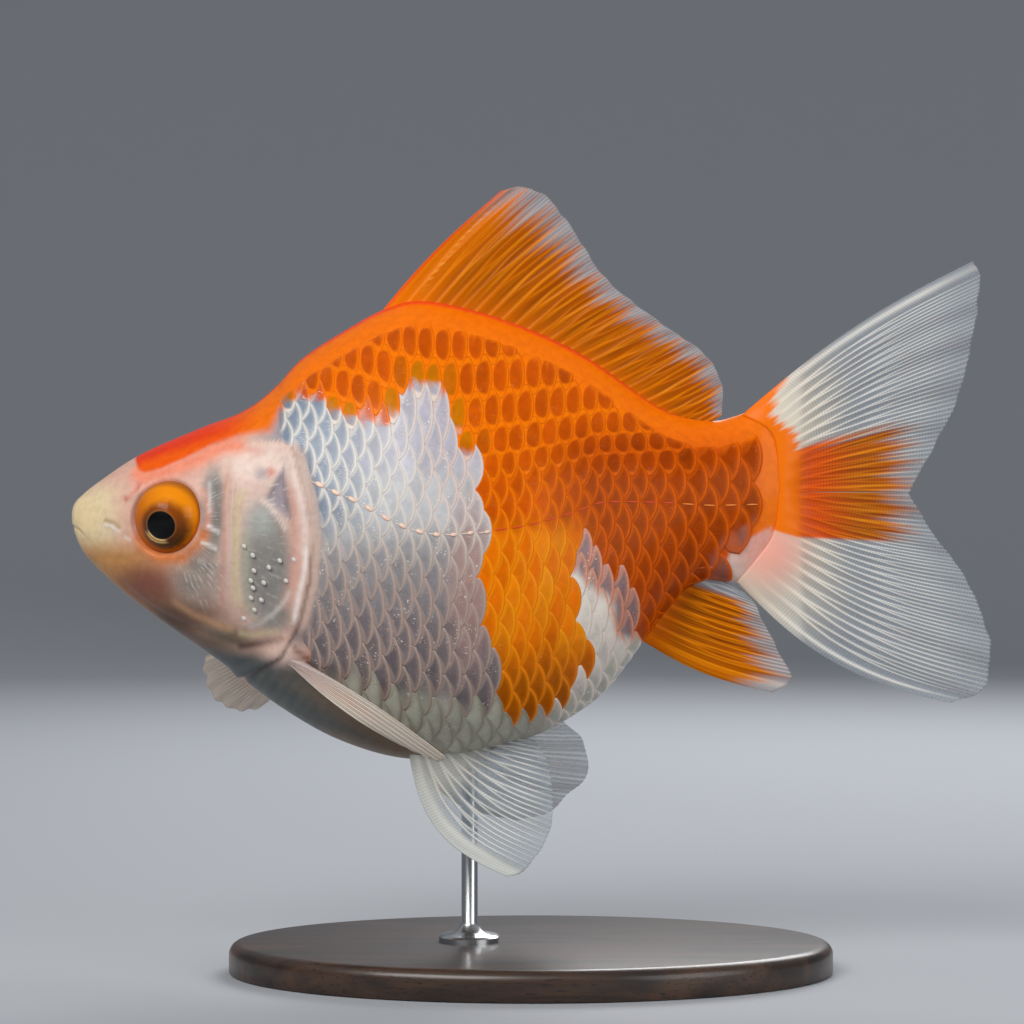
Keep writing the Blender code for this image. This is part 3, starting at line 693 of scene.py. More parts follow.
def eye_finish(side):
    """Rings of colour round the line of sight, measured in eye radii from it."""
    finish = Finish(f"eye_{SIDE_NAME[side]}", Roughness=0.35, Coat_Weight=0.18, Coat_Roughness=0.04,
                    Specular_IOR_Level=0.1)
    turned = Vector(iris_axis(side)).to_track_quat("Z", "Y").to_euler()
    middle = Vector(to_model(eye_middle(side)))
    from_middle = finish.add("Mapping", {"Vector": finish.place(), "Location": middle, "Rotation": turned},
                             vector_type="TEXTURE")
    wide, high, _ = finish.axes(from_middle)
    wide, high = wide * 1000, high * 1000  # millimetres across and up, square to the line of sight
    far = (wide * wide + high * high) ** 0.5
    grain = finish.noise(900, 3)
    edge = far + grain * 0.7 - 0.35
    aft = wide * -side
    orange = finish.blend(finish.ramp(aft + high, -7, 7), IRIS_AMBER, IRIS_ORANGE)
    brown = finish.blend(finish.ramp(high, -4, 4), IRIS_UMBER, IRIS_BROWN)
    brown = finish.blend(finish.ramp(aft, 0.5, -4.5), brown, IRIS_DUN)
    spokes = finish.math("SINE", finish.math("ARCTAN2", high, wide) * 43 + grain * 12)
    brown = finish.blend(finish.ramp(spokes, 0.2, 1) * 0.07, brown, IRIS_SPOKE)
    colour = finish.blend(finish.ramp(edge - aft * 0.12 + high * 0.1, IRIS - 1.3, IRIS + 0.7), brown, orange)
    colour = finish.blend(finish.ramp(far, PUPIL + 0.45, PUPIL + 0.1) * 0.5, colour, IRIS_RING)
    low_fore = (aft * 0.5 + high) / far
    # A painted glint: the gold crescent with bright stripes, low and forward beside the pupil.
    crescent = finish.ramp(edge, PUPIL + 1.5, PUPIL + 0.5) * finish.ramp(low_fore, -0.75, -1.05)
    gold = finish.blend(finish.ramp(finish.math("SINE", edge * 9), -1, 1), IRIS_GOLD, IRIS_GLEAM)
    colour = finish.blend(crescent, colour, gold)
    colour = finish.blend(finish.ramp(far, PUPIL - 0.04, PUPIL + 0.06), PUPIL_BLACK, colour)
    finish.feed("Base Color", finish.blend(finish.ramp(far, 6.3, 7.3), colour, IRIS_RIM))
    return finish.material


SIDE_NAME = {-1: "left", 1: "right"}
for side in (-1, 1):
    shape = bmesh.new()
    bmesh.ops.create_uvsphere(shape, u_segments=96, v_segments=64, radius=1)
    bmesh.ops.scale(shape, vec=Vector((EYE_RADIUS, EYE_RADIUS, EYE_DEPTH)) * MM, verts=shape.verts)
    for v in shape.verts:  # the clear front stands out a little beyond the ball
        far = math.hypot(v.co.x, v.co.y) / MM
        if v.co.z > 0:
            v.co.z += 0.35 * MM * float(step(4.6, 2.2, far))
    stand = Vector(eye_axis(side)).to_track_quat("Z", "Y").to_matrix()
    bmesh.ops.rotate(shape, matrix=stand, verts=shape.verts)
    bmesh.ops.translate(shape, vec=Vector(to_model(eye_middle(side))), verts=shape.verts)
    eye = to_object(f"eye_{SIDE_NAME[side]}_ball", shape, eye_finish(side))
    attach(eye, "root")
    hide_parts(f"eye_{SIDE_NAME[side]}")

# ==================================================================== the scales
# Thin horny plates in rows along the flanks, each rooted under the one ahead and lying back over the one
# behind. Every plate is one closed disc, wrapped to the body; a few pieces hold them all, sorted by colour.
SCALE_SPACING = table([(30, 3), (46, 3.05), (60, 3.2), (90, 3.15), (104, 3.1), (114, 3.6),
                       (124, 4.2), (141, 4.3)])
ROW_SPACING = table([(30, 3.8), (60, 4.1), (90, 4.2), (104, 3.9), (114, 4.2), (124, 4.7), (141, 4.6)])
SCALE_SLOPE = 0.036
SCALE_THICKNESS = 0.06
FREE_EDGE = math.radians(112.5)  # how much of the disc's rim becomes the free rear edge, each way
FIRST_SCALE = 34
flank_x = np.arange(FIRST_SCALE - 6, 141.01, 0.5)
flank_turn = np.radians(np.arange(-118, 119, 1))
flank_up = np.arange(-84, 84.1, 0.5)


def flank_tables():
    """The direction round the section at each distance up the side from the lateral line."""
    every_x = np.repeat(flank_x[:, None], len(flank_turn), 1)
    every_turn = np.repeat(flank_turn[None], len(flank_x), 0)
    rings = body_at(every_x, np.sin(every_turn), np.cos(every_turn))
    runs = np.linalg.norm(np.diff(rings[:, :, 1:], axis=1), axis=2)
    around = np.concatenate([np.zeros((len(flank_x), 1)), np.cumsum(runs, axis=1)], axis=1)
    made = []
    for x, length in zip(flank_x, around):
        high, low = back(x), belly(x)
        half = max((high - low) / 2, 1e-9)
        level = math.asin(np.clip((lateral(x) - (high + low) / 2) / half, -1, 1))
        made.append(np.interp(flank_up, length - np.interp(level, flank_turn, length), flank_turn))
    return np.array(made)


turn_table = flank_tables()


def turn_at(x, up):
    """Direction round the section, from the distance aft and the distance up the side."""
    i = np.clip((x - flank_x[0]) / 0.5, 0, len(flank_x) - 1.001)
    j = np.clip((up - flank_up[0]) / 0.5, 0, len(flank_up) - 1.001)
    a, b = i.astype(int), j.astype(int)
    s, t = i - a, j - b
    return ((turn_table[a, b] * (1 - s) + turn_table[a + 1, b] * s) * (1 - t)
            + (turn_table[a, b + 1] * (1 - s) + turn_table[a + 1, b + 1] * s) * t)


def flank_at(x, up, height, side):
    """Places on the side of the body, that far above its full outline."""
    x = np.clip(x, 0.2, 140.9)
    turn = turn_at(x, up)
    here = body_at(x, np.sin(turn), np.cos(turn))
    aft = body_at(x + 0.1, np.sin(turn), np.cos(turn)) - body_at(x - 0.1, np.sin(turn), np.cos(turn))
    over, under = turn + 0.01, turn - 0.01
    round_it = body_at(x, np.sin(over), np.cos(over)) - body_at(x, np.sin(under), np.cos(under))
    across = np.cross(round_it, aft)
    across /= np.maximum(np.linalg.norm(across, axis=-1, keepdims=True), 1e-9)
    return (here + across * np.asarray(height)[..., None]) * np.array([1, side, 1])


def one_scale():
    """A unit disc of sixteen sides, its top inset once for the rim and once more towards the middle."""
    shape = bmesh.new()
    bmesh.ops.create_cone(shape, cap_ends=True, segments=16, radius1=1, radius2=1, depth=1)
    top = max(shape.faces, key=lambda f: f.calc_center_median().z)
    bmesh.ops.inset_individual(shape, faces=[top], thickness=0.09)
    bmesh.ops.inset_individual(shape, faces=[top], thickness=0.42)
    bmesh.ops.poke(shape, faces=[top])
    mesh = bpy.data.meshes.new("one_scale")
    shape.to_mesh(mesh)
    shape.free()
    return mesh


def scale_edge(across):
    """How far aft of its middle the free edge stands, as a round arc."""
    return 0.5 - 0.5 * np.abs(across) ** 2.2


plate = one_scale()
plate_points = np.array([v.co for v in plate.vertices])
plate_far = np.minimum(np.hypot(plate_points[:, 0], plate_points[:, 1]), 1)
plate_turn = np.arctan2(plate_points[:, 1], plate_points[:, 0])
plate_under = plate_points[:, 2] < 0
plate_edge = (plate_far > 0.97) & ~plate_under
edge_part = np.abs(plate_turn) / FREE_EDGE
hidden = np.clip((np.abs(plate_turn) - FREE_EDGE) / (math.pi - FREE_EDGE), 0, 1)
quarter = hidden * math.pi / 2
rim_across = np.sign(plate_turn) * 1.04 * np.where(hidden > 0, np.cos(quarter) ** 0.45, edge_part)
rim_aft = np.where(hidden > 0, -0.045 - 0.785 * np.sin(quarter) ** 0.8, scale_edge(1.04 * edge_part))
plate_aft = -0.2 + plate_far * (rim_aft + 0.2)  # in scale spacings
plate_across = plate_far * rim_across  # in row spacings
rim_blunt = np.where(hidden > 0, 1.09 * (1 - np.sin(quarter) ** 0.8), (1.04 * edge_part) ** 2.2)
plate_blunt = plate_far * rim_blunt


def row_up(row, x):
    """How far up the side from the lateral line a row lies. The rows open out towards back and belly."""
    return ROW_SPACING(x) * (row * (1 + 0.012 * max(-row, 0)) + 0.38 * max(row - 3.5, 0) ** 1.5)


counted = np.concatenate([[0], np.cumsum(0.1 / SCALE_SPACING(np.arange(FIRST_SCALE, 141, 0.1)))])
counted_x = np.arange(FIRST_SCALE, 141.01, 0.1)[:len(counted)]
counted = counted[:len(counted_x)]
rng = np.random.default_rng(7)
scales = []
for side in (-1, 1):
    for row in range(-14, 12):
        for number in range(int(counted[-1]) + 1):
            along = np.interp(number + (0.5 if row % 2 else 0), counted, counted_x)
            depth = max(-row, 0)
            spread = 0.2 * step(0.5, 7, depth)
            x = along + spread * min(along - 72, 12)
            if x < FIRST_SCALE - 2 or x > 133.4:
                continue
            up = row_up(row, x)
            pitch = float(SCALE_SPACING(along) * (1 + spread * (along < 84)))
            rise, drop = row_up(row + 1, x) - up, up - row_up(row - 1, x)
            jitter = rng.normal(0, 1, 5)
            turn = float(turn_at(np.array([x]), np.array([up]))[0])
            middle = body_at(np.array([x]), np.array([math.sin(turn)]), np.array([math.cos(turn)]))[0]
            if abs(turn) > math.radians(93):
                continue
            bare = float(bare_share(middle[0], middle[2]))
            if bare > 0.9 or (x > 126 and pale_depth(middle[0], middle[2], side) > -0.4):
                continue
            scales.append((side, x, up, pitch, rise, drop, bare, turn, *middle, *jitter))
scales = np.array(scales)
(s_side, s_x, s_up, s_pitch, s_rise, s_drop, s_bare, s_turn,
 m_x, m_y, m_z, j_x, j_up, j_size, j_tilt, j_tone) = scales.T
s_size = 1 + 0.02 * j_size
is_pale = pale_depth(m_x, m_z, s_side) > 0
s_flat = 0.16 * np.where(is_pale, step(0, -12, m_z), step(2, 12, m_z))  # some free edges are blunter
s_back = step(4, 12, m_z) * step(128, 116, m_x) * ~is_pale  # and on the back the rows stand apart
s_rise, s_drop = s_rise * (1 - 0.36 * s_back), s_drop * (1 - 0.36 * s_back)
local_s = np.outer(s_pitch * s_size, plate_aft) + np.outer(s_pitch * s_size * s_flat, plate_blunt)
local_t = np.outer(s_rise * s_size, np.maximum(plate_across, 0))
local_t += np.outer(s_drop * s_size, np.minimum(plate_across, 0))
back_from_edge = 0.5 * (s_pitch * s_size)[:, None] - local_s
crown = 0.02 * (1 - plate_far**2) - 0.034 * plate_edge - SCALE_THICKNESS * plate_under
s_slope = SCALE_SLOPE * (1 + step(98, 110, m_x) * step(2, -6, m_z))  # steeper where the body is narrow
heights = -0.08 - s_slope[:, None] * back_from_edge + crown[None, :] + 0.0012 * j_tilt[:, None] * local_t
lie_x, lie_up = (s_x + 0.06 * j_x)[:, None] + local_s, (s_up + 0.07 * j_up)[:, None] + local_t
scale_points = flank_at(lie_x, lie_up, heights, 1)
v_bare = bare_share(scale_points[..., 0].ravel(), scale_points[..., 2].ravel()).reshape(lie_x.shape)
scale_points = flank_at(lie_x, lie_up, heights - 0.5 * v_bare, 1)  # the plates slip under the bare skin
scale_points[..., 1] *= s_side[:, None]

# Colours of each plate: a clear middle, a milky or bright rim.
RIM_CREAM = linear(236, 226, 216)
RIM_LOW_AND_SHADE = linear(180, 154, 142)
RIM_BELLY = linear(150, 142, 124)
RIM_ORANGE = linear(255, 122, 2)
RIM_AMBER = linear(224, 92, 1)
# The strip's rims are a bright yellow, brighter still on the plates with a painted glint.
RIM_STRIP = linear(255, 158, 16)
CELL_BACK = linear(208, 84, 1)
CELL_FLANK_AND_SHADE = linear(162, 58, 1)
CELL_STRIP = linear(238, 112, 2)
CELL_OLIVE = linear(206, 130, 1)
CELL_PAINTED_GLINT = linear(255, 172, 30)
v_x, v_z = scale_points[..., 0], scale_points[..., 2]
# The border between the colours steps from plate to plate along the fish, and melts up and down.
v_depth = pale_depth(np.broadcast_to(m_x[:, None], v_x.shape), v_z, s_side[:, None])
v_depth = np.where(is_pale[:, None], np.maximum(v_depth, -0.4), np.minimum(v_depth, 0.4))
v_depth = np.where((m_z < 12)[:, None], np.where(is_pale[:, None], 2, -2), v_depth)
v_pale = step(-0.4, 0.4, v_depth)
on_x, on_z = (np.broadcast_to(place[:, None], v_x.shape) for place in (m_x, m_z))
pale_cell = pearl_colour(v_x, v_z, on_x, 0.7 * on_z + 0.3 * v_z)
on_belly = step(0.4, -2, on_z + 29.5 + 0.2 * (on_x - 50)) * step(92, 88, on_x)
behind = step(92, 95, v_x) * step(2, -2, v_z)
border = step(5.4, 3.8, np.abs(from_line(REAR_BORDER, v_x.ravel(), v_z.ravel())[0]).reshape(v_x.shape))
# The rims are darker lower down too, partly as painted shade.
pale_rim = layered(
    RIM_CREAM, (RIM_LOW_AND_SHADE, step(6, -16, v_z)),
    (linear(232, 206, 196), step(62, 76, v_x) * step(-6, 4, v_z)),
    (RIM_BELLY, on_belly), (linear(240, 222, 208), behind), (linear(232, 150, 116), border * behind))
# The plates darken on the lower rear flank and the tail stock, partly as painted shade.
rear_tone_and_shade = np.maximum(step(88, 104, v_x) * step(20, 12, v_z), 0.7 * step(118, 126, v_x))
strip = step(1, -6, v_z) * step(103, 97, v_x - 7 * step(-12, -18, v_z))
near_white = np.where(is_pale, 0, step(5, 1.5, -pale_depth(m_x, m_z, s_side)))
# Random plates of the lower strip get a painted glint: a yellow cell and brighter rims.
painted_strip_glint = rng.random(len(m_x))[:, None] ** 2 * strip * step(-30, -22, v_z)
by_root = step(-3.4, -2.2, pale_depth(v_x, v_z, s_side[:, None])) * step(123, 125, v_x) * step(2, -2, v_z)
orange_cell = layered(
    CELL_BACK, (CELL_FLANK_AND_SHADE, rear_tone_and_shade), (CELL_STRIP, strip),
    (linear(186, 92, 1), strip * np.maximum(step(-20, -32, v_z), step(-4, 0, v_z))),
    (CELL_OLIVE, 0.7 * near_white[:, None] * step(10, 15, v_z)), (CELL_PAINTED_GLINT, 0.35 * painted_strip_glint),
    (linear(156, 104, 92), 0.8 * by_root))
orange_rim = layered(RIM_ORANGE, (RIM_AMBER, rear_tone_and_shade), (RIM_STRIP, strip * (0.5 + 0.5 * painted_strip_glint)))
tone = np.clip(1 + 0.07 * j_tone, 0.8, 1.2)[:, None, None]
cells = mixed(orange_cell, pale_cell, v_pale) * tone
rims = mixed(orange_rim, pale_rim, v_pale)
v_bare = step(0.05, 0.5, v_bare)
faded = v_bare.max(axis=1) > 0
ground_here = np.zeros(cells.shape)
ground_here[faded] = skin_colour(scale_points[faded].reshape(-1, 3)).reshape(-1, len(plate_points), 3)
cells = mixed(cells, ground_here, v_bare)
rims = mixed(rims, ground_here, v_bare)
# On the back, where the skin half covers the plates, the cells are ovals in a wide bright net.
net = np.maximum(s_back, 0.35 * step(122, 130, m_x) * ~is_pale)
net = np.maximum(net[:, None], v_bare)


def scale_finish(name, coat_and_painted_sparkle, spoke_share, gloss_tint):
    """Horn: the rim lighter than the middle, fine spokes from the root, a pearly gloss and painted white
    glints.
    """
    finish = Finish(name, Roughness=0.34, Subsurface_Weight=0.06, Subsurface_Scale=0.0006,
                    Coat_Weight=0.05 + 0.1 * coat_and_painted_sparkle, Coat_Roughness=0.12,
                    Specular_IOR_Level=0.3, Specular_Tint=gloss_tint)
    # The map runs from -1 to 1 along and across the part of a plate that shows, a pointed oval.
    along, across, _ = finish.axes(finish.add("UVMap", uv_map="lie"))
    grain = finish.noise(1400)
    reach = finish.math("MINIMUM", finish.math("ABSOLUTE", across), 1)
    from_rear = 1 - reach**2.2 - along
    from_front = (1 - reach) ** 2.2 + along
    turn = finish.math("ARCTAN2", across * 2.5, along + 2.4)
    patches = finish.ramp(finish.noise(330, 3), 0.5, 0.62)
    spokes = finish.ramp(finish.math("SINE", turn * 58 + grain * 14), 0.55, 1) * (patches * 0.9 + 0.1)
    cell, rim, net = finish.layer("cell", "Color"), finish.layer("rim", "Color"), finish.layer("net")
    clouding = finish.ramp(finish.noise(520, 3), 0.35, 0.65)
    cell = finish.blend(clouding * 0.3, cell, (0.6, 0.58, 0.6, 1), "MULTIPLY")
    fore_milk = finish.ramp(from_front, 0.34, 0) * (0.5 - net * 0.5)
    milk = finish.math("MAXIMUM", finish.ramp(from_rear, 0.8, 0.15) * 0.35, fore_milk)
    cell = finish.blend(milk, cell, rim)
    cell = finish.blend(spokes * spoke_share, cell, rim)
    # painted highlights: tiny white glints in patches
    painted_sparkle = finish.ramp(finish.noise(2600, 1), 0.62, 0.72) * (patches * 0.85 + 0.15)
    cell = finish.blend(painted_sparkle * coat_and_painted_sparkle, cell, (1, 0.97, 0.92, 1))
    wobble = grain * 0.2 - 0.1
    oval = finish.math("ABSOLUTE", along / 0.92) ** 2.6 + (reach / 0.74) ** 2.6
    thin_rim = finish.ramp(from_rear + wobble, 0.4, 0.12) * 0.9
    wide_rim = finish.ramp(oval + wobble, 0.6, 1.2) * net
    finish.feed("Base Color", finish.blend(finish.math("MAXIMUM", thin_rim, wide_rim), cell, rim))
    finish.bump(spokes, 0.00003, 0.5)
    return finish.material


pearl_scales = scale_finish("pearl_scales", 0.6, 0.5, (1, 1, 1, 1))
orange_scales = scale_finish("orange_scales", 0.05, 0.3, (1, 0.42, 0.08, 1))


def lay_scales(name, chosen, finish):
    """The chosen plates as one joined mesh."""
    joined = bmesh.new()
    for _ in range(len(chosen)):
        joined.from_mesh(plate)
    made = to_object(name, joined, finish)
    placed = scale_points[chosen]
    made.data.vertices.foreach_set("co", to_model(placed.reshape(-1, 3)).astype(np.float32).ravel())
    if s_side[chosen[0]] > 0:
        made.data.flip_normals()
    made.data.update()
    paint(made, "cell", cells[chosen].reshape(-1, 3))
    paint(made, "rim", rims[chosen].reshape(-1, 3))
    paint(made, "net", net[chosen].ravel())
    lie = np.stack([plate_aft, plate_across], axis=1)
    cell_lie = np.stack([2 * plate_aft, plate_across], axis=1)
    around = np.where(s_side[chosen] < 0, 0.25, 0.75) + s_turn[chosen] / math.pi * 0.23
    root = np.stack([0.01 + 0.98 * s_x[chosen] / BODY_LENGTH, around], axis=1)
    corner = corners_of(made)
    unwrap(made, "OFBake", (root[:, None, :] + 0.0012 * lie[None]).reshape(-1, 2)[corner])
    unwrap(made, "lie", np.tile(cell_lie, (len(chosen), 1))[corner])
    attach(made, "root")


for side in (-1, 1):
    own = s_side == side
    lay_scales(f"scales_{SIDE_NAME[side]}_pearl", np.flatnonzero(own & is_pale), pearl_scales)
    lay_scales(f"scales_{SIDE_NAME[side]}_orange", np.flatnonzero(own & ~is_pale), orange_scales)
bpy.data.meshes.remove(plate)

# ==================================================================== lateral line and tubercles
# A row of small raised tubes, one on each scale of the middle row, and the white breeding grains on the
# gill covers. All are low domes of skin, joined to what they grow on.
TUBERCLES = [
    (35.5, -5.9), (37.2, -7.6), (42.4, -8.6), (45.1, -8.4), (40.3, -9.9), (37.4, -10.5), (36.8, -12.4),
    (39.3, -12.8), (43.6, -12.4), (37.2, -13.8), (36.8, -15.7), (38.8, -16.1), (37.4, -18), (35.3, -19.7),
]
grain_finish = Finish("grains", Roughness=0.35, Subsurface_Weight=0.2, Subsurface_Scale=0.0006,
                      Coat_Weight=0.4)
grain_finish.feed("Base Color", grain_finish.layer("colour", "Color"))


def domes(name, places, colours):
    """Ovals (x, up the side, height, half length, half width, half height, side), joined in one mesh."""
    shape = bmesh.new()
    bmesh.ops.create_uvsphere(shape, u_segments=8, v_segments=6, radius=1)
    ball = bpy.data.meshes.new("dome")
    shape.to_mesh(ball)
    shape.free()
    unit = np.array([v.co for v in ball.vertices])
    joined = bmesh.new()
    for _ in places:
        joined.from_mesh(ball)
    points = []
    for x, up, height, long, wide, tall, side in places:
        at = flank_at(x + unit[:, 0] * long, up + unit[:, 1] * wide, height + unit[:, 2] * tall, 1)
        points.append(at * [1, side, 1])
    bpy.data.meshes.remove(ball)
    made = to_object(name, joined, grain_finish.material)
    made.data.vertices.foreach_set("co", to_model(np.concatenate(points)).astype(np.float32).ravel())
    made.data.update()
    whole = bmesh.new()
    whole.from_mesh(made.data)
    bmesh.ops.recalc_face_normals(whole, faces=whole.faces)
    whole.to_mesh(made.data)
    whole.free()
    paint(made, "colour", np.repeat(np.array(colours), len(unit), axis=0))
    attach(made, "root")


def up_side(x, z):
    """Distance up the side from the lateral line, of a place given by its height."""
    tries = np.linspace(-70, 70, 561)
    turn = turn_at(np.full(561, float(x)), tries)
    heights = body_at(np.full(561, float(x)), np.sin(turn), np.cos(turn))[:, 2]
    return float(np.interp(z, heights[np.abs(turn) < math.pi / 2], tries[np.abs(turn) < math.pi / 2]))


TUBE_PALE, TUBE_AFT, TUBE_RED = linear(236, 212, 196), linear(250, 140, 24), linear(226, 70, 4)
line_places, line_colours = [], []
for side, x, up, pale, bare, jitter in zip(s_side, s_x, s_up, is_pale, s_bare, j_x):
    if up == 0 and bare < 0.5:
        line_places.append((x + 0.2, 0.05 * jitter, -0.1, 1.25, 0.16, 0.14, side))
        line_colours.append(TUBE_PALE if pale else TUBE_AFT if x > 117 else TUBE_RED)
        if pale:
            size = 1.1 - 0.012 * (x - 48)
            line_places.append((x + 0.7, 0.05 * jitter, 0, 0.85 * size, 0.52 * size, 0.28, side))
            line_colours.append(linear(255, 214, 190))
domes("lateral_line", line_places, line_colours)
grain_places = [(x + shift, up_side(x + shift, z), -0.06, 0.5, 0.5, 0.3, side)
                for side, shift in ((-1, 0), (1, 0.7)) for x, z in TUBERCLES]
domes("tubercles", grain_places, [linear(212, 208, 202)] * len(grain_places))

# ==================================================================== the fins
# Thin skin stretched over branching bony rays, jointed all along. Each fin is one closed sheet, thick at
# the root and thin at the edge, with its rays raised on both faces and the edge slightly frayed.
FILM_ROOT = 0.62  # half the thickness of the sheet between the rays, at the root
FILM_EDGE = 0.08
RAY_ROOT = 0.3  # how far a ray stands out of each face
RAY_EDGE = 0.1
PER_RAY = 16
# Each outline: rays from the first to the last as (share, aft, out to the left, up).
DORSAL = {
    "root": [(0, 57.2, 0, 35.2), (0.2, 74, 0, 37.6), (0.4, 88, 0, 34), (0.6, 99, 0, 29.2),
             (0.8, 109, 0, 22.4), (1, 119.5, 0, 16.6)],
    "edge": [(0, 84.6, 0, 63.8), (0.06, 88.6, 0, 64.4), (0.13, 93.2, 0, 62.6), (0.24, 98.3, 0, 56.3),
             (0.40, 105, 0, 46.2), (0.60, 115.6, 0, 37.6), (0.78, 124, 0, 31.6), (0.9, 127.4, 0, 25.6),
             (1, 127.4, 0, 19.6)],
    "bow": (1.3, -0.6),
    "wave": 0.9,
}
TAIL_UPPER = {
    "root": [(0, 131.2, 0, 19.5), (0.25, 136.2, 0, 16.6), (0.5, 137.8, 0, 12.8), (1, 138.4, 0, 4.35)],
    "edge": [(0, 177.2, 0, 50), (0.12, 178, 0, 45.6), (0.4, 176.4, 0, 34), (0.62, 173.8, 0, 22.6),
             (0.84, 168.6, 0, 12.2), (1, 164.1, 0, 4.35)],
    "bow": (2.2, 0.2),
    "wave": -1.6,
}
TAIL_LOWER = {
    "root": [(0, 138.4, 0, 4.45), (0.5, 137.2, 0, -3.6), (0.8, 133.6, 0, -8.8), (1, 130.2, 0, -13)],
    "edge": [(0, 164.1, 0, 4.45), (0.14, 168.6, 0, -2.9), (0.36, 175.2, 0, -11.8), (0.58, 179.2, 0, -21.6),
             (0.74, 180, 0, -28.6), (0.88, 178, 0, -34.8), (1, 172.4, 0, -36.8)],
    "bow": (0, -4.4),
    "wave": 1.8,
}
ANAL = {
    "root": [(0, 109.4, 0, -23), (0.4, 113.8, 0, -17), (0.75, 118.6, 0, -12.4),
             (1, 123.6, 0, -10.4)],
    "edge": [(0, 137.8, 0, -34.8), (0.12, 141.2, 0, -32.2), (0.32, 139, 0, -27.2),
             (0.6, 135.6, 0, -21), (0.84, 133.2, 0, -16.4), (1, 129.2, 0, -14.2)],
    "bow": (-1.8, 0.6),
    "wave": 0.8,
}
PELVIC_ROOT = [(0, 66, 5.6, -43.8), (0.5, 71, 5, -43.4), (1, 76, 4.2, -43)]
PELVIC_LEFT = {
    "root": PELVIC_ROOT,
    "edge": [(0, 85.8, 17.4, -68.8), (0.14, 89, 16.8, -67.4), (0.36, 92.8, 15, -62.6),
             (0.6, 94.4, 12.4, -56), (0.82, 93.6, 9.4, -48.8), (1, 91, 6.6, -43.6)],
    "bow": (-5.6, 0.8),
    "wave": 0,
}
PELVIC_RIGHT = {
    "root": PELVIC_ROOT,
    "edge": [(0, 88, 16.8, -61.6), (0.14, 91.6, 16.2, -60.6), (0.36, 97, 14.4, -57),
             (0.6, 101.6, 12, -51), (0.82, 100.4, 9.4, -44.6), (1, 96.4, 7.2, -40.6)],
    "bow": (-5, 0.8),
    "wave": 0,
}
PECTORAL_FOLDED = {
    "root": [(0, 42, 15.4, -25.8), (0.5, 42.2, 15.2, -26.2), (1, 42.4, 15, -26.6)],
    "edge": [(0, 73.4, 28.4, -44.6), (0.25, 73.9, 27.6, -45.6), (0.6, 72, 25.4, -46),
             (1, 66, 22.6, -43.6)],
    "bow": (1.2, -1.2),
    "wave": 0,
    "lift": 3,
}
PECTORAL_SPREAD = {
    "root": [(0, 39.6, 15, -25), (0.5, 41.2, 13.8, -27.6), (1, 42.8, 12.2, -30)],
    "edge": [(0, 22.6, 33.4, -29.2), (0.22, 22.8, 35, -34), (0.46, 24.8, 35.6, -38.2),
             (0.74, 29.6, 33.8, -40.4), (1, 34.6, 30, -39.6)],
    "bow": (-0.8, 1),
    "wave": 0,
}
FIN_ORANGE = linear(244, 118, 2)
FIN_AMBER = linear(200, 98, 1)
FIN_RUST = linear(112, 48, 1)
# Gold streaks, partly the fins' own colour and partly painted highlight.
FIN_GOLD_AND_HIGHLIGHT = linear(248, 152, 16)
FIN_CLEAR = linear(162, 172, 180)
FIN_RAY = linear(236, 234, 228)
FIN_CREAM = linear(240, 224, 198)
FIN_PINK = linear(250, 172, 152)
ORANGE_TAIL = [(120, 40), (139.5, 26.6), (138, 24.4), (137, 19.6), (139, 17.6), (141.4, 16.4),
               (142.2, 13.2), (150, 14.9), (160.5, 17.5), (190, 22), (190, -10), (120, -10)]


def fan(plan, u, out, side):
    """Places on a fin's middle sheet: u across the rays, out along them."""
    start, end = (np.stack([table([(p[0], p[axis]) for p in plan[line]])(u) for axis in (1, 2, 3)], axis=-1)
                  for line in ("root", "edge"))
    ray = end - start
    across = np.stack([-ray[..., 2], np.zeros(np.shape(u)), ray[..., 0]], axis=-1)
    across /= np.hypot(ray[..., 0], ray[..., 2])[..., None]
    bow = plan["bow"][0] * (1 - u) + plan["bow"][1] * u
    place = start + ray * out[..., None] + across * (bow * np.sin(math.pi * out))[..., None]
    place[..., 1] += plan["wave"] * out**2 * np.sin(2 * math.pi * u)
    place[..., 1] += plan.get("lift", 0) * np.sin(math.pi * np.clip(out, 0, 1) ** 0.7)
    return place * np.array([1, side, 1])


def near_ray(u, out, count, first, second, last=False):
    """1 on a ray's middle line, 0 between rays. All but the thick leading one split in two, then four."""
    whole = np.clip(u * count, 0, count)
    number = np.minimum(np.floor(whole), count - 1)
    part = whole - number
    leading = number > count - 2 if last else number < 1
    one = step(first, first + 0.3, out) * ~leading
    two = step(second, second + 0.3, out) * ~leading
    thin = np.where(leading, (0.2 if last else 0.34) - 0.1 * out, 0.16 - 0.085 * one - 0.03 * two)
    near = np.zeros(np.shape(u))
    for a in (-1, 1):
        for b in (-1, 1):
            near = np.maximum(near, np.exp(-(((part - 0.5 - 0.25 * a * one - 0.125 * b * two) / thin) ** 2)))
    return near


def fin_finish(name, gloss_tint, joint_share):
    finish = Finish(name, Roughness=0.4, Subsurface_Weight=0.08, Subsurface_Scale=0.0008, Coat_Weight=0.05,
                    Coat_Roughness=0.15, Specular_IOR_Level=0.14, Specular_Tint=gloss_tint)
    lie = finish.axes(finish.add("UVMap", uv_map="lie"))
    joints = finish.ramp(finish.math("SINE", lie[1] * 10.5 + lie[0] * 2.2), 0.2, 0.9)
    share = joints * finish.layer("jointed") * joint_share
    colour = finish.layer("colour", "Color")
    finish.feed("Base Color", finish.blend(share, colour, (0.5, 0.46, 0.42, 1), "MULTIPLY"))
    finish.feed("Alpha", finish.layer("cover"))
    return finish.material


fin_clear = fin_finish("fin_clear", (1, 1, 1, 1), 0.3)
fin_orange = fin_finish("fin_orange", (1, 0.5, 0.15, 1), 0.12)


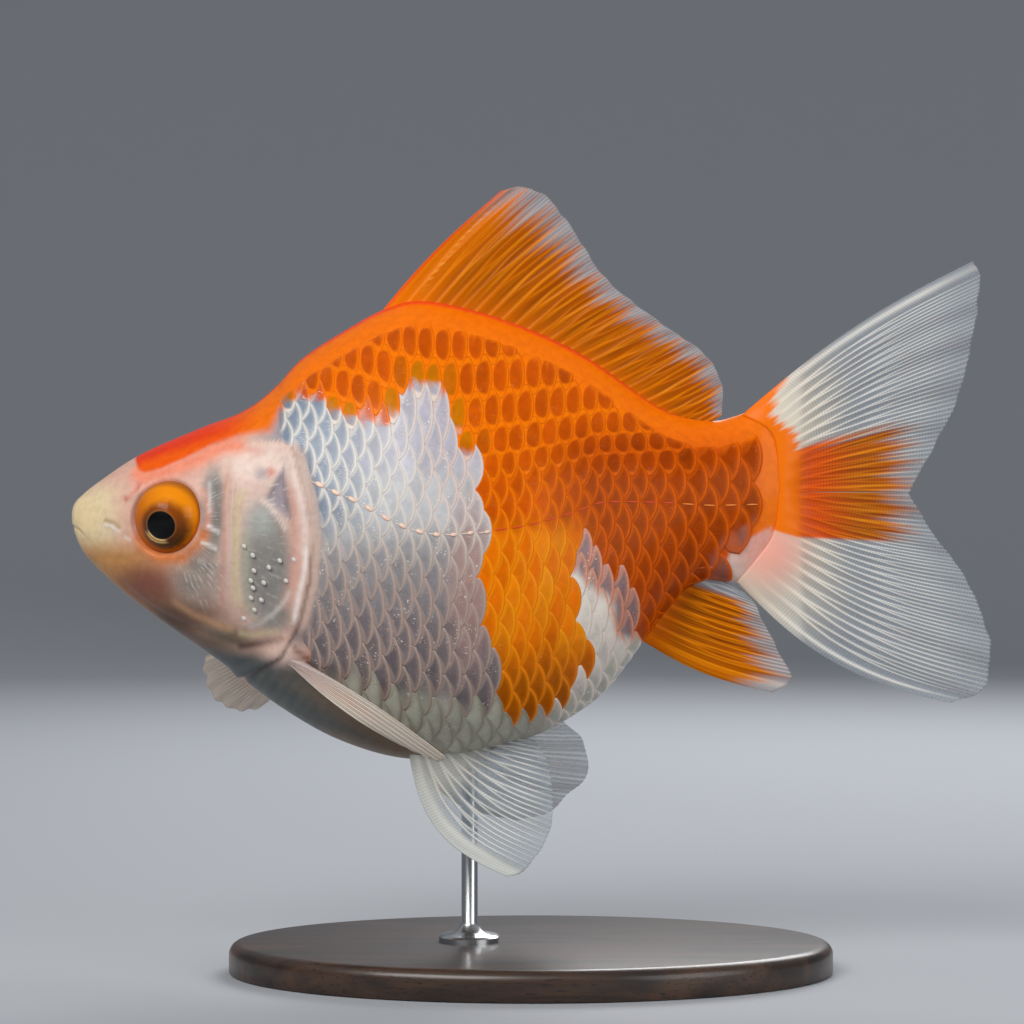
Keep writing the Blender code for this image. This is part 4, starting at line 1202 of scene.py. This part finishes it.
def make_fin(name, node, plan, side, count, steps, branches, colours, finish, ripple=0.25, flesh=0,
             swell=0, ridge=1, joints=1):
    """One fin. The colours are a function of (u, out, nearness to a ray, places)."""
    shape = bmesh.new()
    bmesh.ops.create_grid(shape, x_segments=count * PER_RAY, y_segments=steps, size=1)
    grown = bmesh.ops.extrude_face_region(shape, geom=shape.faces[:])
    moved = [g for g in grown["geom"] if isinstance(g, bmesh.types.BMVert)]
    bmesh.ops.translate(shape, verts=moved, vec=Vector((0, 0, 1)))
    flat = np.array([v.co for v in shape.verts])
    u, out = np.clip((flat[:, 0] + 1) / 2, 0, 1), np.clip((flat[:, 1] + 1) / 2, 0, 1)
    face = np.where(flat[:, 2] > 0.5, 1, -1)
    near = near_ray(u, out, count, *branches)
    rays_on = u * count
    fray = 0.003 * (1 - near) + 0.004 * (1 + np.sin(rays_on * 2.7 + 1)) + 0.002 * (1 + np.sin(rays_on * 5.1))
    length = out * (1 - fray * step(0.3, 1, out))
    middle = fan(plan, u, length, side)
    rear, fore = np.clip(u + 0.002, 0, 1), np.clip(u - 0.002, 0, 1)
    du = fan(plan, rear, length, side) - fan(plan, fore, length, side)
    dv = fan(plan, u, length + 0.01, side) - fan(plan, u, length - 0.01, side)
    across = np.cross(du, dv)
    across /= np.maximum(np.linalg.norm(across, axis=1, keepdims=True), 1e-9)
    film = FILM_EDGE + (FILM_ROOT - FILM_EDGE) * (1 - step(0, 0.6, out)) ** 1.5
    film = film + swell * np.exp(-((out / 0.1) ** 2))
    if flesh:  # the root swells to the body's own width, and the rays stand out of it
        root = fan(plan, u, np.zeros(len(u)), side)
        film = 0.4 * film + flesh * side_depth(root[:, 0], root[:, 2]) * np.exp(-((out / 0.15) ** 2.5))
    rays = RAY_EDGE + (RAY_ROOT - RAY_EDGE) * (1 - out)
    raised = step(0.1, 0.3, out) if flesh else step(0, 0.06, out)
    lines = ridge * near * rays * raised * step(1, 0.85, out)
    waves = ripple * out * np.sin(2 * math.pi * (u * (count // 2) + 0.3 * np.sin(3 * out)))
    points = middle + across * (face * (film + lines) + waves)[:, None]
    move_points(shape, to_model(points))
    bmesh.ops.recalc_face_normals(shape, faces=shape.faces)
    made = to_object(name, shape, finish)
    rgb, cover = colours(u, out, near, middle)
    paint(made, "colour", rgb)
    paint(made, "cover", cover)
    paint(made, "jointed", joints * step(0.06, 0.25, out))
    corner = corners_of(made)
    long = np.linalg.norm(fan(plan, u, np.ones(len(u)), side) - fan(plan, u, np.zeros(len(u)), side), axis=1)
    sheet_v = 0.25 * (1 + face) + 0.01 + 0.47 * out
    unwrap(made, "OFBake", np.stack([0.01 + 0.98 * u, sheet_v], axis=1)[corner])
    unwrap(made, "lie", np.stack([u * count, out * long], axis=1)[corner])
    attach(made, "root")
    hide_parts(node)


def clear_colours(u, out, near, places):
    """White rays in clear skin, cream towards the root, and both alike at the free edge."""
    near = near * (1 - 0.6 * step(0.75, 1, out)) * step(0, 0.12, out)
    rgb = layered(FIN_CLEAR, (FIN_RAY, near), (FIN_CREAM, 0.75 * step(0.5, 0.05, out)))
    return rgb, 0.42 + 0.5 * near + 0.5 * step(0.4, 0, out)


def amber_streaks(u, out, near, fine=1):
    """Amber skin with dark streaks between the rays and gold ones along them, partly painted highlight."""
    dark = (0.5 + 0.5 * np.sin(u * 150 * fine + 1.5 * out)) * (0.5 + 0.5 * np.sin(u * 61 * fine + 2))
    gold = (0.5 + 0.5 * np.sin(u * 97 * fine + 0.8)) * (0.5 + 0.5 * np.sin(u * 233 * fine + 3 * out))
    gold = gold * step(0.1, 0.4, out)
    return layered(FIN_AMBER, (FIN_RUST, np.clip(0.45 * (1 - near) + 0.5 * dark, 0, 0.85) / fine),
                   (FIN_GOLD_AND_HIGHLIGHT, np.clip(0.25 * near + 0.75 * gold, 0, 0.9) / fine))


def dorsal_colours(u, out, near, places):
    """Finely streaked amber, clearing to grey at the free edge, with an orange front and a red root."""
    beads = step(0.2, 0.9, np.sin(out * 135)) * step(0.2, 0.3, out)
    beads = beads * np.exp(-(((u - 0.078 + 0.05 * out) / 0.005) ** 2))
    uneven = 0.05 * (np.sin(u * 61) + np.sin(u * 320)) + 0.04 * np.sin(u * 143 + 1) + 0.03 * np.sin(u * 611)
    clear = step(0.72, 1.02, out + uneven) * step(0, 0.1, u + 0.03)
    rgb = layered(
        amber_streaks(u, out, near, 1.5),
        (linear(250, 130, 8), 0.6 * step(0.16, 0.04, u) + 0.5 * step(0.4, 0, out)),
        (linear(255, 176, 84), 0.6 * beads * step(0.95, 0.8, out)),
        (mixed(FIN_CLEAR, FIN_RAY, 0.3 * near), 0.9 * clear),
        (RED_RIDGE, 0.8 * step(0.07, 0.02, out) + 0.5 * step(0.02, 0.006, u)))
    return rgb, 0.92 - 0.36 * clear + 0.12 * near


def with_wedge(rgb, cover, u, out, near, places, share):
    """The tail's orange wedge, redder at its root and fading in streaks to the fork, and the fleshy base."""
    x, z = places[:, 0], places[:, 2]
    flames = 1.6 * np.sin(u * 70) + 1.2 * np.sin(u * 171 + 1)
    share = share * step(167, 158, x + flames)
    amber = mixed(amber_streaks(u, out, near), linear(236, 84, 8), 0.8 * step(156, 144, x))
    rgb = layered(rgb, (mixed(amber, ORANGE_BACK, step(144.5, 141, x)), share),
                  (FIN_PINK, 0.9 * (1 - share) * spot(x, z, *TAIL_BLUSH)))
    return rgb, np.maximum(np.maximum(cover, 0.88 * share), step(146, 142, x))


def tail_upper_colours(u, out, near, places):
    """White above, with the orange wedge along its lowest rays and an orange fleshy base."""
    inside = within(ORANGE_TAIL, places[:, 0], places[:, 2])
    uneven = 0.5 * np.sin(u * 71) + 0.3 * np.sin(u * 163 + 1)
    share = step(-1, 1, inside + uneven)
    return with_wedge(*clear_colours(u, out, near, places), u, out, near, places, share)


def tail_lower_colours(u, out, near, places):
    """The orange wedge's lower rays, then white, with a pink root."""
    white = within(WHITE_TAIL_ROOT, places[:, 0], places[:, 2])
    return with_wedge(*clear_colours(u, out, near, places), u, out, near, places, step(0.4, -0.4, white))


def anal_colours(u, out, near, places):
    """Streaked amber, a white strip along its last rays and a clear edge."""
    flames = 0.05 * np.sin(u * 37) + 0.03 * np.sin(u * 83) + 0.03 * np.sin(u * 190)
    share = np.maximum(step(0.72, 0.8, u) * step(0, 0.12, out), 0.85 * step(0.72, 0.98, out + flames))
    rgb = layered(amber_streaks(u, out, near), (FIN_ORANGE, 0.7 * step(0.3, 0.05, out)),
                  (mixed(FIN_CLEAR, FIN_RAY, 0.5 * near), share))
    return rgb, 0.92 - 0.35 * share + 0.3 * near


def pelvic_colours(u, out, near, places):
    """A broad milky front edge, then bundles of white rays with clear gaps between them."""
    rgb, cover = clear_colours(u, out, near, places)
    gaps = (0.5 - 0.5 * np.cos(2 * math.pi * u * 6.5)) * step(0.2, 0.45, out)
    milky = np.maximum(step(0.16, 0.1, u), 0.8 * step(0.45, 0.2, out))
    rgb = layered(rgb, (linear(112, 126, 136), 0.6 * gaps * (1 - near) * (1 - milky)),
                  (linear(206, 208, 202), 0.8 * milky))
    return rgb, np.maximum(cover - 0.2 * gaps * (1 - near), 0.95 * milky)


def pectoral_colours(u, out, near, places):
    """Close pale rays in thick milky skin, rosy to cream, folded flat together."""
    rgb = layered(linear(214, 194, 188), (linear(234, 222, 206), step(0.15, 0.5, out)),
                  (linear(240, 196, 176), 0.5 * spot(u, out, (0.5, 0.4), (0.3, 0.25))),
                  (linear(150, 138, 128), 0.35 * (1 - near)))
    return rgb, 0.9 + 0.1 * near


make_fin("fin_dorsal", "dorsal_fin", DORSAL, 1, 27, 60, (0.3, 0.7), dorsal_colours,
         fin_orange, ridge=0.5)
make_fin("fin_tail_upper", "tail_fin_upper", TAIL_UPPER, 1, 13, 84, (0.14, 0.42), tail_upper_colours,
         fin_clear, 0.4, 0.84)
make_fin("fin_tail_lower", "tail_fin_lower", TAIL_LOWER, 1, 13, 84, (0.14, 0.42, True), tail_lower_colours,
         fin_clear, 0.4, 0.84)
make_fin("fin_anal", "anal_fin", ANAL, 1, 8, 48, (0.25, 0.55), anal_colours,
         fin_orange, swell=0.8, ridge=0.7)
for side, plan in ((-1, PELVIC_LEFT), (1, PELVIC_RIGHT)):
    make_fin(f"fin_pelvic_{SIDE_NAME[side]}", f"pelvic_fin_{SIDE_NAME[side]}", plan, side, 7, 60, (0.1, 0.4),
             pelvic_colours, fin_clear, 0.45, swell=0.6)
make_fin("fin_pectoral_left", "pectoral_fin_left", PECTORAL_FOLDED, -1, 12, 48, (0.4, 0.9),
         pectoral_colours, fin_clear, 0.1, swell=0.5, ridge=0.4, joints=0)
make_fin("fin_pectoral_right", "pectoral_fin_right", PECTORAL_SPREAD, 1, 12, 48, (0.3, 0.6),
         pectoral_colours, fin_clear, 0.3, swell=0.8, ridge=0.6, joints=0)

# ==================================================================== the stand
# A flat oval base of dark wood with a rounded rim, oiled to a soft gloss, and one short steel rod that
# rises from a turned foot into the belly.
BASE_LENGTH, BASE_WIDTH, BASE_HEIGHT = 118, 80, 6
ROD_AFT = 78
ROD_RADIUS = 1.6
ROD_FOOT_RADIUS = 6
ROD_TOP = -45.2  # just inside the belly's skin
wood = Finish("dark_wood", Roughness=0.38, Coat_Weight=0.35, Coat_Roughness=0.18)
grain_place = wood.add("Mapping", {"Vector": wood.place(), "Scale": (12, 90, 90)})
rings = wood.noise(2.2, 5, grain_place, Distortion=0.6)
pores = wood.noise(26, 2, grain_place)
tone_of_wood = wood.blend(wood.ramp(rings, 0.32, 0.68), (0.016, 0.0075, 0.004, 1), (0.068, 0.03, 0.014, 1))
wood.feed("Base Color", wood.blend(wood.ramp(pores, 0.56, 0.7), tone_of_wood, (0.01, 0.005, 0.003, 1)))
wood.bump(pores, 0.00008, 0.4)

shape = bmesh.new()
bmesh.ops.create_cone(shape, cap_ends=True, segments=128, radius1=1, radius2=1, depth=1)
bmesh.ops.scale(shape, vec=Vector((BASE_LENGTH / 2, BASE_WIDTH / 2, BASE_HEIGHT)) * MM, verts=shape.verts)
bmesh.ops.translate(shape, vec=Vector((0, 0, BASE_HEIGHT / 2)) * MM, verts=shape.verts)
upper_rim = [e for e in shape.edges if all(v.co.z > 0.005 for v in e.verts)]
bmesh.ops.bevel(shape, geom=upper_rim, offset=2.2 * MM, affect="EDGES", segments=6, profile=0.5, material=-1)
lower_rim = [e for e in shape.edges if all(v.co.z < 0.0001 for v in e.verts)]
bmesh.ops.bevel(shape, geom=lower_rim, offset=0.6 * MM, affect="EDGES", segments=2, profile=0.5, material=-1)
base = to_object("stand_base_wood", shape, wood.material)
base.data.set_sharp_from_angle(angle=math.radians(40))
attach(base, "root")
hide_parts("stand_base")



def turned_form(outline, steps, merge):
    """A form turned round the upright axis, from its outline as (radius, height) in metres."""
    shape = bmesh.new()
    points = [shape.verts.new((radius, 0, height)) for radius, height in outline]
    edges = [shape.edges.new(pair) for pair in zip(points, points[1:])]
    bmesh.ops.spin(shape, geom=points + edges, cent=(0, 0, 0), axis=(0, 0, 1), angle=2 * math.pi,
                   steps=steps, use_merge=True)
    bmesh.ops.remove_doubles(shape, verts=shape.verts, dist=merge)
    bmesh.ops.recalc_face_normals(shape, faces=shape.faces)
    return shape


steel = Finish("satin_steel", Metallic=1, Roughness=0.24, Base_Color=(0.62, 0.63, 0.64, 1))
low = BASE_HEIGHT
high = SNOUT_HEIGHT + ROD_TOP
profile = [
    (0, low), (ROD_FOOT_RADIUS, low), (ROD_FOOT_RADIUS, low + 0.9), (ROD_FOOT_RADIUS - 0.35, low + 1.25),
    (ROD_FOOT_RADIUS - 1, low + 1.4), (3.4, low + 1.65), (2.5, low + 2.2), (1.9, low + 3.2),
    (ROD_RADIUS, low + 3.6), (ROD_RADIUS, high), (0, high),
]
shape = turned_form([(r * MM, z * MM) for r, z in profile], 48, 0.00001)
bmesh.ops.translate(shape, vec=Vector((ROD_AFT - TOTAL_LENGTH / 2, 0, 0)) * MM, verts=shape.verts)
rod = to_object("stand_rod_steel", shape, steel.material)
rod.data.set_sharp_from_angle(angle=math.radians(38))
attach(rod, "root")
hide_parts("stand_rod")

# ==================================================================== the studio
# A pale floor that turns up all round into a low wall, lit by large soft lamps, and the camera level with
# the fish at arm's length.
CAMERA_PLACE = (-0.0037, -0.60, 0.0899)
CAMERA_LENS = 107.8
FLOOR_FLAT = 1.1
FLOOR_RIM = 1.9
WALL_TOP = 0.9
paper = Finish("paper", Roughness=0.9, Base_Color=(0.42, 0.44, 0.47, 1))
sweep = [(0, 0), (0.3, 0), (FLOOR_FLAT, 0)]
for number in range(1, 13):
    turn = number / 12 * math.pi / 2
    sweep.append((FLOOR_FLAT + (FLOOR_RIM - FLOOR_FLAT) * math.sin(turn), WALL_TOP * (1 - math.cos(turn))))
floor = to_object("floor", turned_form(sweep, 72, 0.0001), paper.material)


def soft_lamp(name, place, size, watts, tint=(1, 1, 1)):
    """A square lamp that looks at the fish."""
    lamp = bpy.data.lights.new(name, "AREA")
    lamp.shape = "RECTANGLE"
    lamp.size, lamp.size_y = size
    lamp.energy = watts
    lamp.color = tint
    holder = bpy.data.objects.new(name, lamp)
    holder.location = place
    holder.rotation_euler = (Vector((0, 0, 0.09)) - Vector(place)).to_track_quat("-Z", "Y").to_euler()
    bpy.context.scene.collection.objects.link(holder)


soft_lamp("key_lamp", (-0.35, -0.62, 0.62), (0.55, 0.4), 5.2, (1, 0.985, 0.96))
soft_lamp("fill_lamp", (0.62, -0.55, 0.3), (0.5, 0.5), 2, (0.95, 0.98, 1))
soft_lamp("back_lamp", (0.25, 0.7, 0.6), (0.6, 0.4), 5)
world = bpy.data.worlds.new("studio")
world.use_nodes = True
world.node_tree.nodes["Background"].inputs["Color"].default_value = (0.92, 0.95, 1, 1)
world.node_tree.nodes["Background"].inputs["Strength"].default_value = 0.3
bpy.context.scene.world = world
bpy.context.scene.view_settings.view_transform = "Standard"  # the fish's own strong colours, unsoftened

camera = bpy.data.cameras.new("camera")
camera.lens = CAMERA_LENS
camera.sensor_width = 36
holder = bpy.data.objects.new("camera", camera)
holder.location = CAMERA_PLACE
holder.rotation_euler = (math.pi / 2, 0, 0)
bpy.context.scene.collection.objects.link(holder)
bpy.context.scene.camera = holder

bpy.context.view_layer.update()
